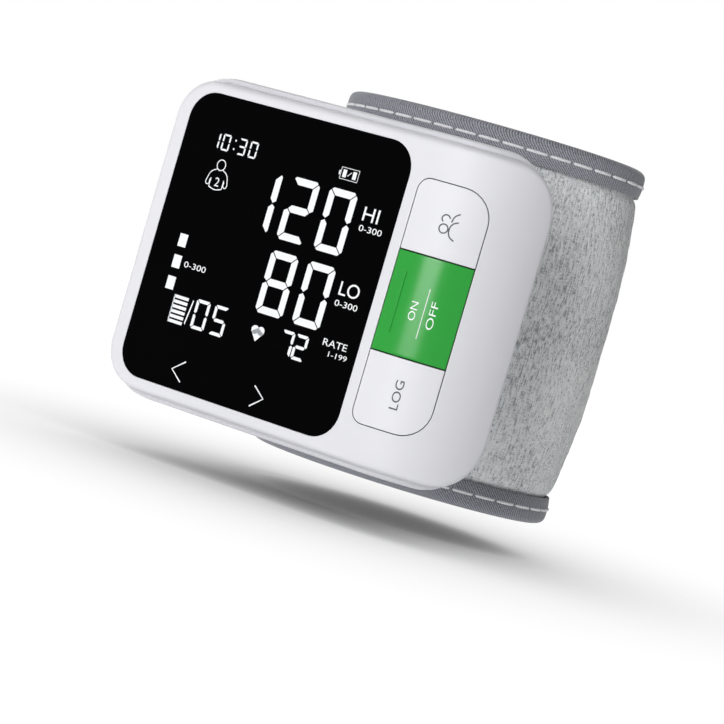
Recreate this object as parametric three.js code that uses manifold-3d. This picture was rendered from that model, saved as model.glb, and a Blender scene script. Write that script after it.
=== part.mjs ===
// Wrist blood pressure monitor: a display unit on a preformed cuff that closes round the wrist.
// Millimetres, +Z up along the wrist, the display looks along -Y.
import * as THREE from 'three';
import { mergeVertices } from 'three/addons/utils/BufferGeometryUtils.js';
import Module from 'manifold-3d';

const wasm = await Module();
wasm.setup();

// Clearances
const clearance = 0.3; // between pieces that touch or nest
const screwClearance = 0.15; // round a screw's shank in its bore
const overrun = 1; // how far a cutting body runs past what it cuts
const bite = 0.4; // how far joined bodies run into each other

// Face of the unit, measured over its surface from the left edge
const faceFlat = 62.2; // flat stretch over the display
const rollRadius = 20; // the face rolls back round the wrist with this radius
const rollDegrees = 84;
const unitHeight = 66.4; // over the rear housing, the widest part
const leftCorner = 9.5;
const rightCorner = 12;
const edgeRound = 1.8; // rounding where face and side wall meet
const edgeFlare = 0.35; // the side wall widens by this down to the parting line
const frontSideInset = 0.4; // the front housing lies this far inside the widest outline at its ends
const frontTopInset = 1.4; // and this far at its upper and lower edges
const frontDepth = 3.6; // of the front housing's side wall
const faceWall = 2.4;
const sideWall = 1.9;
const tongueHeight = 1.2; // rim of the rear housing that stands inside the front one
const tongueWall = 0.8;
const thinnedWall = 0.8; // what is left of the front wall beside the tongue

// Rear housing
const rimSideInset = 0.2; // its rim at the parting line lies this far inside the widest outline
const rimTopInset = 0.6;
const rimFlareDepth = 3; // from the parting line to the widest outline
const waistLeftRise = 11.8; // where its side wall starts to draw in, before the cuff's edge
const waistRightRise = 4.8;
const waistDraft = 0.3;
const shoulderLeftRise = 5.8;
const shoulderRightRise = 2.7;
const shoulderDraw = 1.3;
const rearDraw = 4.6; // the rear face's outline lies this far inside the widest one
const rearRightInset = 7; // the rear face's outline ends this far inside the unit's right edge
const saddleHalfWidth = 14; // hollow that takes the cuff
const rearDrop = 3.6; // the rear face falls from the saddle's lips to its ends by this
const rearWall = 1.8;
const rearRoom = 2.9; // from the pump to the cuff's bound edge

// Display
const windowMargin = 4.7; // from the face's left edge
const windowRollMargin = 3.5; // from the window to the start of the roll
const windowTopMargin = 4.3; // from the unit's upper and lower edges
const windowCorner = 5.5;
const windowThickness = 1.2;
const windowLedge = 6; // shelf under the window's edge
const moduleSideInset = 3.5; // inside the window's outline
const moduleTopInset = 4.9;
const moduleThickness = 4.2;
const moduleCorner = 1;

// Key strip in the roll
const stripLead = 0.7; // the strip starts this far before the roll
const stripWidth = 15.3;
const stripTopMargin = 9.4; // from the unit's upper and lower edges
const startKeyHeight = 19.3;
const stripLeftCorner = 2.5;
const stripRightCorner = 5.8;
const keyTravel = 0.6;
const keyLipReach = 0.8; // under the housing's wall
const keyLipThickness = 0.8;
const keyPostRadius = 1.5;
const keyPostLength = 3; // below the keys' lips
const tactileLineInset = 2.6; // raised line on the start key, from the key's left edge
const tactileLineLength = 11.8;
const tactileLineWidth = 0.5;
const tactileLineRise = 0.25;

// Switches on the key board
const switchWidth = 6;
const switchHeight = 3;
const stemRadius = 1.4;
const stemRise = 0.7; // above the switch
const stemLength = 1.7;
const stemBore = 2; // depth of the bore that the stem runs in
const keyBoardThickness = 1;
const keyBoardWidth = 13;
const keyBoardMargin = 4.2; // from the unit's upper and lower edges
const keyBoardCorner = 1.5;
const keyBoardPostRadius = 2;
const keyBoardScrewInset = 1.6; // from the key board's ends

// Main board and housing screws
const boardDepth = 9; // of its front side below the face
const boardThickness = 1.2;
const boardRollMargin = 7.2; // from the board's right edge to the start of the roll
const boardCorner = 8;
const screwPostTopMargin = 6.2; // of the four posts, from the unit's upper and lower edges
const screwPostSideMargin = 8; // from the unit's left edge
const screwPostInset = 2; // from the board's right edge
const frontPostRadius = 2.4;
const rearPostRadius = 3.2;
const housingScrewRadius = 1;
const housingScrewTip = 4.5; // depth of its tip below the face
const housingScrewRise = 6.3; // of its seat, before the cuff's edge
const housingHeadRadius = 1.9;
const housingHeadHeight = 1.6;
const smallScrewRadius = 0.8;
const smallScrewLength = 5;
const smallHeadRadius = 1.6;
const smallHeadHeight = 1;
const driveRadius = 0.7; // socket in a screw's head
const driveDepth = 0.6;
const chipWidth = 9;
const chipHeight = 1.1;
const chipInset = 26; // its left edge, from the board's right edge
const chipMargin = 9.2; // from the unit's lower edge

// Air system
const motorRadius = 5.8;
const pumpSideMargin = 15; // from the unit's left edge to the pump's axis
const pumpMargin = 9.2; // from the unit's lower edge
const bearingRadius = 2;
const bearingHeight = 0.8;
const pumpHeadHeight = 9;
const pumpHeadCorner = 2;
const nozzleRadius = 1.2;
const nozzleLength = 3;
const cradleThickness = 2;
const cradleSpacing = 12;
const hoseRadius = 1.5;
const hoseRise = 7.4; // from the nozzle up to the manifold's axis
const manifoldRoom = 12; // from the pump's axis to the manifold
const manifoldInset = 4; // from the board's right edge
const manifoldSize = 5;
const manifoldRise = 5.9; // of its rear side, before the cuff's edge
const manifoldMargin = 13.2; // of its axis, from the unit's upper edge
const valveWidth = 8;
const valveLength = 10;
const valveInset = 5; // of its axis, from the manifold's left end
const sensorWidth = 9;
const sensorHeight = 3.2;
const sensorInset = 6; // of its axis, from the manifold's right end
const nippleRadius = 1.6;
const nippleBore = 0.8;
const nippleInset = 3; // of its axis, from the manifold's right end
const buzzerRadius = 4.5;
const buzzerHeight = 3;
const buzzerHole = 1;
const buzzerInset = 12; // of its axis, from the board's right edge
const buzzerMargin = 25.2; // of its axis, from the unit's lower edge

// Power
const cellThickness = 5.5;
const cellCorner = 2;
const cellRoom = 5.2; // from the pump to the cell
const cellValveRoom = 0.7; // from the cell up to the valve
const cellInset = 1; // from the board's right edge
const cellMargin = 9.8; // from the unit's lower edge
const socketWidth = 9;
const socketHeight = 3.2;
const socketLength = 7;
const socketWall = 0.35;
const socketFloor = 1;
const socketTongue = 0.7;
const socketTongueGap = 1.1; // from the tongue to the shell's ends
const socketProud = 0.2; // the mouth lies this far inside the wall's surface

// Cuff loop: an oval round the wrist, measured on the outside of its bound edges
const loopHalfWidth = 33.1;
const loopHalfDepth = 27.1;
const cuffMargin = 3.7; // the cuff is higher than the unit by this at either edge
const cuffRise = 1.4; // the cuff's middle above the unit's
const cuffStartDegrees = 153.5; // round the loop, from the right towards the rear
const cuffHingeDegrees = 75;
const armEndDegrees = 150;
const tailEndDegrees = 212;
const tuckEndDegrees = 240; // from here on the cuff's end no longer tucks in
const tuck = 2.6; // how far the cuff's end tucks in under the tail
const fabricThickness = 0.8;
const fabricBulge = 1.4; // the cloth swells past its bound edges by this
const pinchLength = 9; // from the binding to the full swell
const formerThickness = 0.8;
const formerMargin = 15; // from the cuff's edge
const screwHeadRoom = 1.1; // between former and bladder
const bladderThickness = 1.8;
const bladderMargin = 15.5;
const bladderStartDegrees = 170;
const bladderEndDegrees = 62;
const liningThickness = 0.8;
const bindingThickness = 0.7;
const bindingDepth = 5.6;
const bindingInnerDepth = 5;
const bindingRound = 0.6;
const tailHeight = 48;
const tailThickness = 0.9;
const tailCorner = 9;
const hookThickness = 0.8;
const hookMargin = 3; // hook tape inside the tail's edges
const cuffScrewMargin = 4.5; // from the former's lower edge to the lower cuff screw
const cuffScrewRadius = 0.9;
const cuffHeadRadius = 2.2;
const cuffHeadHeight = 0.8;
const cuffBossRadius = 2.4;

// Counts of facets
const cornerSteps = 5;
const flatSteps = 6;
const rollSteps = 5;
const edgeSteps = 3;
const hoseSteps = 12;
const hoseSides = 4; // to a half turn of its section
const driveSides = 6;
const roundSides = 16;
const smallSides = 12;
const loopStepDegrees = 8;

const finishes = {
  whiteShell: { color: 0xe9e9ee, roughness: 0.35, metalness: 0 },
  rearShell: { color: 0xdcdce2, roughness: 0.4, metalness: 0 },
  blackGlass: { color: 0x050506, roughness: 0.08, metalness: 0 },
  whiteKey: { color: 0xe6e6ea, roughness: 0.35, metalness: 0 },
  greenKey: { color: 0x14a02d, roughness: 0.25, metalness: 0 },
  board: { color: 0x1d5a35, roughness: 0.6, metalness: 0 },
  darkPlastic: { color: 0x26272b, roughness: 0.6, metalness: 0 },
  palePlastic: { color: 0xc9c9c4, roughness: 0.5, metalness: 0 },
  steel: { color: 0xb4b6ba, roughness: 0.35, metalness: 1 },
  silicone: { color: 0xd8d8d8, roughness: 0.7, metalness: 0 },
  cell: { color: 0x8f9aa8, roughness: 0.4, metalness: 0.4 },
  former: { color: 0xa9abb0, roughness: 0.5, metalness: 0 },
  greyCloth: { color: 0xb4b7b9, roughness: 0.95, metalness: 0 },
  liningCloth: { color: 0x77787d, roughness: 0.95, metalness: 0 },
  bindingTape: { color: 0x76767f, roughness: 0.9, metalness: 0 },
  hookTape: { color: 0x5c5d63, roughness: 0.95, metalness: 0 },
};

// Derived places
const radians = THREE.MathUtils.degToRad;
const fullTurn = 360;
const nearUnit = 270; // degrees round the loop where it is nearest to the unit
const rollAngle = radians(rollDegrees);
const faceLength = faceFlat + rollRadius * rollAngle;
const unitWidth = faceFlat + rollRadius * Math.sin(rollAngle);
const unitLeft = -unitWidth / 2;
const windowWidth = faceFlat - windowMargin - windowRollMargin;
const windowHeight = unitHeight - 2 * windowTopMargin;
const windowMiddle = unitLeft + windowMargin + windowWidth / 2;
const moduleWidth = windowWidth - 2 * moduleSideInset;
const moduleHeight = windowHeight - 2 * moduleTopInset;
const stripStart = faceFlat - stripLead;
const stripHeight = unitHeight - 2 * stripTopMargin;
const keyBoardHeight = unitHeight - 2 * keyBoardMargin;
const keyBoardScrewHeight = keyBoardHeight / 2 - keyBoardScrewInset;
const keyDrop = faceWall + clearance + keyLipThickness; // underside of the keys' lips
const stripEnd = stripStart + stripWidth;
const keyTilt = (stripStart + stripWidth / 2 - faceFlat) / rollRadius;
const boardRear = boardDepth + boardThickness;
const partsDepth = boardRear + clearance; // front of what is mounted on the main board
const pumpDepth = partsDepth + clearance + motorRadius;
const cuffDepth = pumpDepth + motorRadius + rearRoom; // of the cuff's edge, nearest to the unit
const loopDepth = cuffDepth + loopHalfDepth; // of the loop's centre
const boardRight = unitLeft + faceFlat - boardRollMargin;
const screwPostLeft = unitLeft + screwPostSideMargin;
const screwPostRight = boardRight - screwPostInset;
const screwPostHeight = unitHeight / 2 - screwPostTopMargin;
const housingScrewSeat = cuffDepth - housingScrewRise;
const chipLeft = boardRight - chipInset;
const chipBottom = chipMargin - unitHeight / 2;
const pumpLeft = unitLeft + pumpSideMargin;
const manifoldHeight = unitHeight / 2 - manifoldMargin;
const motorBottom = pumpMargin - unitHeight / 2;
const hoseStart = manifoldHeight - hoseRise;
const pumpHeadTop = hoseStart - clearance - nozzleLength;
const motorLength = pumpHeadTop - pumpHeadHeight - clearance - motorBottom;
const pumpHeadWidth = 2 * motorRadius;
const cradleWidth = pumpHeadWidth - 2 * clearance;
const manifoldLeft = pumpLeft + manifoldRoom;
const manifoldRight = boardRight - manifoldInset;
const manifoldDepth = cuffDepth - manifoldRise - manifoldSize;
const valveTop = manifoldHeight - manifoldSize / 2 - clearance - nozzleLength / 2;
const valveLeft = manifoldLeft + valveInset;
const sensorLeft = manifoldRight - sensorInset;
const nippleLeft = manifoldRight - nippleInset;
const buzzerLeft = boardRight - buzzerInset;
const buzzerBottom = buzzerMargin - unitHeight / 2;
const cellLeft = pumpLeft + motorRadius + cellRoom;
const cellWidth = boardRight - cellInset - cellLeft;
const cellBottom = cellMargin - unitHeight / 2;
const cellHeight = valveTop - valveLength - cellValveRoom - cellBottom;
const cellFront = partsDepth + buzzerHeight + 2 * clearance;
const cellBack = cellFront + cellThickness;
const cuffHalf = unitHeight / 2 + cuffMargin;
const formerHalf = cuffHalf - formerMargin;
const cuffScrewHeight = formerHalf - cuffRise - cuffScrewMargin;
const saddleLift = fabricBulge + clearance; // the saddle's surface outside the loop's oval
const rearRight = unitWidth / 2 - rearRightInset;

// Solids

function outward(geometry) {
  const place = geometry.getAttribute('position');
  const index = geometry.getIndex();
  const a = new THREE.Vector3();
  const b = new THREE.Vector3();
  const c = new THREE.Vector3();
  let volume = 0;
  for (let i = 0; i < index.count; i += 3) {
    a.fromBufferAttribute(place, index.getX(i));
    b.fromBufferAttribute(place, index.getX(i + 1));
    c.fromBufferAttribute(place, index.getX(i + 2));
    volume += a.dot(b.cross(c));
  }
  if (volume < 0) {
    const turned = Array.from(index.array);
    for (let i = 0; i < turned.length; i += 3) {
      [turned[i], turned[i + 1]] = [turned[i + 1], turned[i]];
    }
    geometry.setIndex(turned);
  }
  return geometry;
}

function body(source) {
  source.deleteAttribute('normal');
  source.deleteAttribute('uv');
  const geometry = mergeVertices(source, clearance / 1000);
  return new wasm.Manifold(new wasm.Mesh({
    numProp: 3,
    vertProperties: new Float32Array(geometry.getAttribute('position').array),
    triVerts: new Uint32Array(geometry.getIndex().array),
  }));
}

function geometryOf(solid) {
  const mesh = solid.getMesh();
  const geometry = new THREE.BufferGeometry();
  geometry.setAttribute('position', new THREE.BufferAttribute(mesh.vertProperties, mesh.numProp));
  geometry.setIndex(Array.from(mesh.triVerts));
  return geometry;
}

function join(first, ...others) {
  return others.reduce((whole, other) => whole.add(other), first);
}

function cut(first, ...others) {
  return others.reduce((whole, other) => whole.subtract(other), first);
}

function box(x0, x1, y0, y1, z0, z1) {
  const geometry = new THREE.BoxGeometry(x1 - x0, y1 - y0, z1 - z0);
  geometry.translate((x0 + x1) / 2, (y0 + y1) / 2, (z0 + z1) / 2);
  return geometry;
}

function rodAlongY(radius, x, z, y0, y1, sides = smallSides) {
  const geometry = new THREE.CylinderGeometry(radius, radius, y1 - y0, sides);
  geometry.translate(x, (y0 + y1) / 2, z);
  return geometry;
}

function rodAlongZ(radius, x, y, z0, z1, sides = smallSides) {
  const geometry = new THREE.CylinderGeometry(radius, radius, z1 - z0, sides);
  geometry.rotateX(Math.PI / 2);
  geometry.translate(x, y, (z0 + z1) / 2);
  return geometry;
}

// Rectangle whose left and right corners have radii of their own, each at the low and the high end
function roundedOutline(left, right, low, high, corners) {
  const { lowLeft, lowRight, highRight, highLeft } = corners;
  const shape = new THREE.Shape();
  shape.moveTo(left + lowLeft, low);
  shape.lineTo(right - lowRight, low);
  if (lowRight > 0) shape.absarc(right - lowRight, low + lowRight, lowRight, -Math.PI / 2, 0);
  shape.lineTo(right, high - highRight);
  if (highRight > 0) shape.absarc(right - highRight, high - highRight, highRight, 0, Math.PI / 2);
  shape.lineTo(left + highLeft, high);
  if (highLeft > 0) shape.absarc(left + highLeft, high - highLeft, highLeft, Math.PI / 2, Math.PI);
  shape.lineTo(left, low + lowLeft);
  if (lowLeft > 0) shape.absarc(left + lowLeft, low + lowLeft, lowLeft, Math.PI, Math.PI * 3 / 2);
  return shape;
}

function evenCorners(radius) {
  return { lowLeft: radius, lowRight: radius, highRight: radius, highLeft: radius };
}

// Plate with its outline in X and Z, from one depth to another
function plateAlongY(shape, y0, y1) {
  const geometry = new THREE.ExtrudeGeometry(shape, {
    depth: y1 - y0, bevelEnabled: false, curveSegments: cornerSteps,
  });
  geometry.rotateX(Math.PI / 2);
  geometry.translate(0, y1, 0);
  return geometry;
}

function plateAlongZ(shape, z0, z1) {
  const geometry = new THREE.ExtrudeGeometry(shape, {
    depth: z1 - z0, bevelEnabled: false, curveSegments: cornerSteps,
  });
  geometry.translate(0, 0, z0);
  return geometry;
}

// Closed skin through a stack of rings; each ring is a list of [upper point, lower point] stations
function loft(rings) {
  const places = [];
  const faces = [];
  const count = rings[0].length;
  const round = 2 * count;
  rings.forEach((ring) => {
    ring.forEach(([upper]) => places.push(...upper));
    ring.slice().reverse().forEach(([, lower]) => places.push(...lower));
  });
  for (let level = 0; level < rings.length - 1; level += 1) {
    for (let i = 0; i < round; i += 1) {
      const a = level * round + i;
      const b = level * round + (i + 1) % round;
      faces.push(a, b, b + round, a, b + round, a + round);
    }
  }
  for (let i = 0; i < count - 1; i += 1) {
    const mate = round - 1 - i;
    faces.push(i, mate, mate - 1, i, mate - 1, i + 1);
    const last = (rings.length - 1) * round;
    faces.push(last + i, last + mate - 1, last + mate, last + i, last + i + 1, last + mate - 1);
  }
  const geometry = new THREE.BufferGeometry();
  geometry.setAttribute('position', new THREE.Float32BufferAttribute(places, 3));
  geometry.setIndex(faces);
  return outward(geometry);
}

// Face of the unit

// Point of the unit, by the distance over its face, the depth below it and the height
function onFace(along, depth, height) {
  const turned = Math.max(0, along - faceFlat) / rollRadius;
  const x = unitLeft + Math.min(along, faceFlat) + (rollRadius - depth) * Math.sin(turned);
  const y = rollRadius - (rollRadius - depth) * Math.cos(turned);
  return [x, y, height];
}

// Outline over the face, drawn in from the widest one by a step at its ends and one above and
// below: [distance along, half height] from left to right
function faceOutline(sideInset, topInset) {
  const half = unitHeight / 2 - topInset;
  const stations = [];
  for (let k = 0; k <= cornerSteps; k += 1) {
    const angle = (Math.PI / 2) * (k / cornerSteps);
    stations.push([
      leftCorner - (leftCorner - sideInset) * Math.cos(angle),
      half - (leftCorner - topInset) * (1 - Math.sin(angle)),
    ]);
  }
  for (let k = 1; k <= flatSteps; k += 1) {
    stations.push([THREE.MathUtils.lerp(leftCorner, faceFlat, k / flatSteps), half]);
  }
  for (let k = 1; k < rollSteps; k += 1) {
    stations.push([THREE.MathUtils.lerp(faceFlat, faceLength - rightCorner, k / rollSteps), half]);
  }
  for (let k = 0; k <= cornerSteps; k += 1) {
    const angle = (Math.PI / 2) * (k / cornerSteps);
    stations.push([
      faceLength - rightCorner + (rightCorner - sideInset) * Math.sin(angle),
      half - (rightCorner - topInset) * (1 - Math.cos(angle)),
    ]);
  }
  return stations;
}

function faceRing(depth, sideInset, topInset) {
  return faceOutline(sideInset, topInset).map(([along, half]) => [
    onFace(along, depth, half),
    onFace(along, depth, -half),
  ]);
}

// Ring that lies a distance inside the front housing's widest outline
function frontRing(depth, inset) {
  return faceRing(depth, frontSideInset + inset, frontTopInset + inset);
}

// Layer of the unit that follows its face between two depths
function faceLayer(from, to, inset) {
  return body(loft([frontRing(from, inset), frontRing(to, inset)]));
}

function windowPlate(width, height, corner, y0, y1) {
  const shape = roundedOutline(
    windowMiddle - width / 2, windowMiddle + width / 2, -height / 2, height / 2, evenCorners(corner),
  );
  return body(plateAlongY(shape, y0, y1));
}

// Key strip

// Turns a geometry from the strip's own frame, flat on the middle of the roll, into the unit's
const keyFrame = new THREE.Matrix4().makeRotationZ(keyTilt)
  .setPosition(...onFace(stripStart + stripWidth / 2, 0, 0));
const toKeyFrame = keyFrame.clone().invert();
const stripLeft = new THREE.Vector3(...onFace(stripStart, 0, 0)).applyMatrix4(toKeyFrame).x;
const stripRight = new THREE.Vector3(...onFace(stripEnd, 0, 0)).applyMatrix4(toKeyFrame).x;
const postEnd = keyDrop + keyPostLength;
const stemTop = postEnd + clearance;
const switchTop = stemTop + stemRise;
const keyBoardDepth = switchTop + switchHeight + clearance;

// Keys from top to bottom: the strip is shared out between them
const keySpans = {
  user: { low: startKeyHeight / 2 + clearance, high: stripHeight / 2, highRound: true },
  start: { low: -startKeyHeight / 2, high: startKeyHeight / 2 },
  memory: { low: -stripHeight / 2, high: -startKeyHeight / 2 - clearance, lowRound: true },
};

function stripPlate(span, grow, y0, y1) {
  const leftRound = stripLeftCorner + grow;
  const rightRound = stripRightCorner + grow;
  const shape = roundedOutline(
    stripLeft - grow, stripRight + grow,
    span.low - (span.lowRound ? grow : 0), span.high + (span.highRound ? grow : 0),
    {
      lowLeft: span.lowRound ? leftRound : 0,
      lowRight: span.lowRound ? rightRound : 0,
      highRight: span.highRound ? rightRound : 0,
      highLeft: span.highRound ? leftRound : 0,
    },
  );
  return body(plateAlongY(shape, y0, y1).applyMatrix4(keyFrame));
}

function keyBody(span) {
  const cap = stripPlate(span, 0, -overrun, 2 * keyDrop).intersect(faceLayer(0, keyDrop, edgeRound));
  const lipLayer = faceLayer(faceWall + clearance, keyDrop, edgeRound);
  const lip = stripPlate(span, keyLipReach, 0, 2 * keyDrop).intersect(lipLayer);
  const middle = (span.low + span.high) / 2;
  const post = rodAlongY(keyPostRadius, 0, middle, keyDrop - bite, postEnd);
  return join(cap, lip, body(post.applyMatrix4(keyFrame)));
}

function startKeyBody() {
  const reach = onFace(stripStart + tactileLineInset, 0, 0);
  const half = tactileLineLength / 2;
  const line = box(
    reach[0] - tactileLineWidth / 2, reach[0] + tactileLineWidth / 2,
    reach[1] - tactileLineRise, reach[1] + bite, -half, half,
  );
  return join(keyBody(keySpans.start), body(line));
}

// Front housing

function frontOuter() {
  const rings = [];
  for (let k = 0; k <= edgeSteps; k += 1) {
    const angle = (Math.PI / 2) * (k / edgeSteps);
    rings.push(frontRing(
      edgeRound * (1 - Math.cos(angle)),
      edgeFlare + edgeRound * (1 - Math.sin(angle)),
    ));
  }
  rings.push(frontRing(frontDepth, 0));
  return body(loft(rings));
}

function frontCavity() {
  return body(loft([
    frontRing(faceWall, sideWall + edgeRound / 2),
    frontRing(frontDepth, sideWall),
    frontRing(frontDepth + overrun, sideWall),
  ]));
}

function screwPosts() {
  const posts = [];
  [screwPostLeft, screwPostRight].forEach((x) => {
    [-screwPostHeight, screwPostHeight].forEach((z) => posts.push([x, z]));
  });
  return posts;
}

function frontHousing() {
  const rebate = faceLayer(frontDepth - tongueHeight - clearance, frontDepth + overrun, thinnedWall);
  const pocket = windowPlate(
    windowWidth + 2 * clearance, windowHeight + 2 * clearance, windowCorner + clearance,
    -overrun, windowThickness + clearance,
  );
  const view = windowPlate(
    windowWidth - 2 * windowLedge, windowHeight - 2 * windowLedge, moduleCorner,
    -overrun, faceWall + overrun,
  );
  const strip = { low: -stripHeight / 2, high: stripHeight / 2, lowRound: true, highRound: true };
  const keyOpening = stripPlate(strip, clearance, -2 * overrun, 2 * keyDrop);
  let shell = cut(frontOuter(), frontCavity(), rebate, pocket, view, keyOpening);
  screwPosts().forEach(([x, z]) => {
    const post = rodAlongY(frontPostRadius, x, z, faceWall - bite, boardDepth - clearance);
    const bore = rodAlongY(
      housingScrewRadius + screwClearance, x, z, housingScrewTip - clearance, boardDepth,
    );
    shell = cut(join(shell, body(post)), body(bore));
  });
  [-keyBoardScrewHeight, keyBoardScrewHeight].forEach((z) => {
    const post = rodAlongY(keyBoardPostRadius, 0, z, faceWall - bite, keyBoardDepth - clearance);
    const bore = rodAlongY(
      smallScrewRadius + screwClearance, 0, z,
      keyBoardDepth + keyBoardThickness - smallScrewLength - clearance, keyBoardDepth,
    );
    shell = cut(join(shell, body(post.applyMatrix4(keyFrame))), body(bore.applyMatrix4(keyFrame)));
  });
  return shell;
}

// Cuff loop

function loopSpeed(degrees) {
  const t = radians(degrees);
  return Math.hypot(loopHalfWidth * Math.sin(t), loopHalfDepth * Math.cos(t));
}

function turnFor(length, degrees) {
  return THREE.MathUtils.radToDeg(length / loopSpeed(degrees));
}

// How far the cuff's end lies inside the oval, so that the tail closes over it
function tuckAt(degrees) {
  const reach = tuckEndDegrees - cuffStartDegrees;
  return -tuck * THREE.MathUtils.smoothstep(tuckEndDegrees - degrees, 0, reach);
}

// Point beside the loop's oval: lift goes outwards from it
function onLoop(degrees, lift, height) {
  const t = radians(degrees);
  const normal = new THREE.Vector2(
    loopHalfDepth * Math.cos(t), loopHalfWidth * Math.sin(t),
  ).normalize();
  return [
    loopHalfWidth * Math.cos(t) + lift * normal.x,
    loopDepth + loopHalfDepth * Math.sin(t) + lift * normal.y,
    cuffRise + height,
  ];
}

// Strip that goes round the loop, from its cross section in [lift, height]
function band(section, from, to, liftAt = () => 0) {
  const steps = Math.max(1, Math.round((to - from) / loopStepDegrees));
  const count = section.length;
  const places = [];
  const faces = [];
  for (let k = 0; k <= steps; k += 1) {
    const degrees = THREE.MathUtils.lerp(from, to, k / steps);
    section.forEach(([lift, height]) => {
      places.push(...onLoop(degrees, lift + liftAt(degrees), height));
    });
  }
  for (let k = 0; k < steps; k += 1) {
    for (let i = 0; i < count; i += 1) {
      const a = k * count + i;
      const b = k * count + (i + 1) % count;
      faces.push(a, b, b + count, a, b + count, a + count);
    }
  }
  const outline = section.map(([lift, height]) => new THREE.Vector2(lift, height));
  THREE.ShapeUtils.triangulateShape(outline, []).forEach(([a, b, c]) => {
    const last = steps * count;
    const straight = THREE.ShapeUtils.area(outline) > 0;
    faces.push(...(straight ? [a, c, b] : [a, b, c]));
    faces.push(...(straight ? [last + a, last + b, last + c] : [last + a, last + c, last + b]));
  });
  const geometry = new THREE.BufferGeometry();
  geometry.setAttribute('position', new THREE.Float32BufferAttribute(places, 3));
  geometry.setIndex(faces);
  return body(outward(geometry));
}

// Lifts of the cuff's layers: outer side of each, at the bound edge and in the middle
const fabricEdgeLift = -bindingThickness - clearance;
const liningEdgeLift = fabricEdgeLift - fabricThickness - clearance;
const formerLift = fabricBulge - fabricThickness - clearance;
const bladderLift = formerLift - formerThickness - screwHeadRoom;
const liningLift = bladderLift - bladderThickness - clearance;
const bindingInnerLift = liningEdgeLift - liningThickness - clearance;
const pinchShares = [0, 0.25, 0.6, 1];
const pinchLiftShares = [0, 0.45, 0.85, 1];

// Cross section of a cloth layer that is held in the bindings and swells between them
function clothSection(edgeLift, middleLift, thickness) {
  const held = cuffHalf - bindingDepth;
  const upper = [[edgeLift, cuffHalf - bindingThickness - clearance]];
  pinchShares.forEach((share, i) => {
    upper.push([
      THREE.MathUtils.lerp(edgeLift, middleLift, pinchLiftShares[i]),
      held - pinchLength * share,
    ]);
  });
  const side = [...upper, ...upper.slice().reverse().map(([lift, height]) => [lift, -height])];
  const inner = side.slice().reverse().map(([lift, height]) => [lift - thickness, height]);
  return [...side, ...inner];
}

const outerSection = clothSection(fabricEdgeLift, fabricBulge, fabricThickness);
const liningSection = clothSection(liningEdgeLift, liningLift, liningThickness);

function flatSection(lift, thickness, half) {
  return [[lift, half], [lift, -half], [lift - thickness, -half], [lift - thickness, half]];
}

// Tape folded over an edge of the cuff; side is 1 for the upper edge and -1 for the lower
function bindingSection(side) {
  const outerInside = -bindingThickness;
  const innerOutside = bindingInnerLift - bindingThickness;
  return [
    [0, cuffHalf - bindingDepth],
    [0, cuffHalf - bindingRound],
    [-bindingRound, cuffHalf],
    [innerOutside + bindingRound, cuffHalf],
    [innerOutside, cuffHalf - bindingRound],
    [innerOutside, cuffHalf - bindingInnerDepth],
    [bindingInnerLift, cuffHalf - bindingInnerDepth],
    [bindingInnerLift, cuffHalf - bindingThickness],
    [outerInside, cuffHalf - bindingThickness],
    [outerInside, cuffHalf - bindingDepth],
  ].map(([lift, height]) => [lift, side * height]);
}

const hingeGap = turnFor(clearance / 2, cuffHingeDegrees);
const rootSpan = [cuffStartDegrees, cuffHingeDegrees + fullTurn - hingeGap];
const armSpan = [cuffHingeDegrees + hingeGap, armEndDegrees];
const tailStart = armEndDegrees + turnFor(clearance, armEndDegrees);

const bladderDepth = onLoop(nearUnit, bladderLift, 0)[1];

function rootBand(section, from = rootSpan[0], to = rootSpan[1]) {
  return band(section, from, to, tuckAt);
}

function cuffFixings(radius) {
  return [-cuffScrewHeight, cuffScrewHeight].map((z) => (
    body(rodAlongY(radius, 0, z, housingScrewSeat, bladderDepth))
  ));
}

function nippleHole(radius) {
  const end = bladderDepth + overrun;
  return body(rodAlongY(radius, nippleLeft, manifoldHeight, housingScrewSeat, end));
}

function cuffOuterFabric() {
  return cut(
    rootBand(outerSection),
    ...cuffFixings(cuffScrewRadius + clearance),
    nippleHole(nippleRadius + clearance),
  );
}

function cuffFormer() {
  const margin = turnFor(formerMargin / 2, cuffHingeDegrees);
  const shell = rootBand(
    flatSection(formerLift, formerThickness, formerHalf),
    rootSpan[0] + margin, rootSpan[1] - margin,
  );
  return cut(
    shell,
    ...cuffFixings(cuffScrewRadius + screwClearance),
    nippleHole(nippleRadius + clearance),
  );
}

function airBladder() {
  const section = flatSection(bladderLift, bladderThickness, cuffHalf - bladderMargin);
  return rootBand(section, bladderStartDegrees, bladderEndDegrees + fullTurn);
}

function tailPiece(lift, thickness, half, from, to) {
  const strip = band(flatSection(lift, thickness, half), from, to, tuckAt);
  const turned = turnFor(tailCorner, to);
  const end = new THREE.Vector3(...onLoop(to, lift, -cuffRise));
  const back = new THREE.Vector3(...onLoop(to - turned, lift, -cuffRise));
  const shape = new THREE.Shape();
  shape.moveTo(0, half);
  shape.lineTo(tailCorner + overrun, half);
  shape.lineTo(tailCorner + overrun, half - tailCorner);
  shape.lineTo(tailCorner, half - tailCorner);
  shape.absarc(0, half - tailCorner, tailCorner, 0, Math.PI / 2);
  return [1, -1].reduce((whole, side) => {
    const corner = new THREE.ExtrudeGeometry(shape, {
      depth: 2 * tailCorner, bevelEnabled: false, curveSegments: cornerSteps,
    });
    corner.translate(0, 0, -tailCorner);
    const along = end.clone().sub(back).normalize();
    const up = new THREE.Vector3(0, 0, side);
    const out = along.clone().cross(up);
    corner.applyMatrix4(new THREE.Matrix4().makeBasis(along, up, out));
    corner.translate(back.x, back.y, cuffRise);
    return whole.subtract(body(corner));
  }, strip);
}

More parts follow.
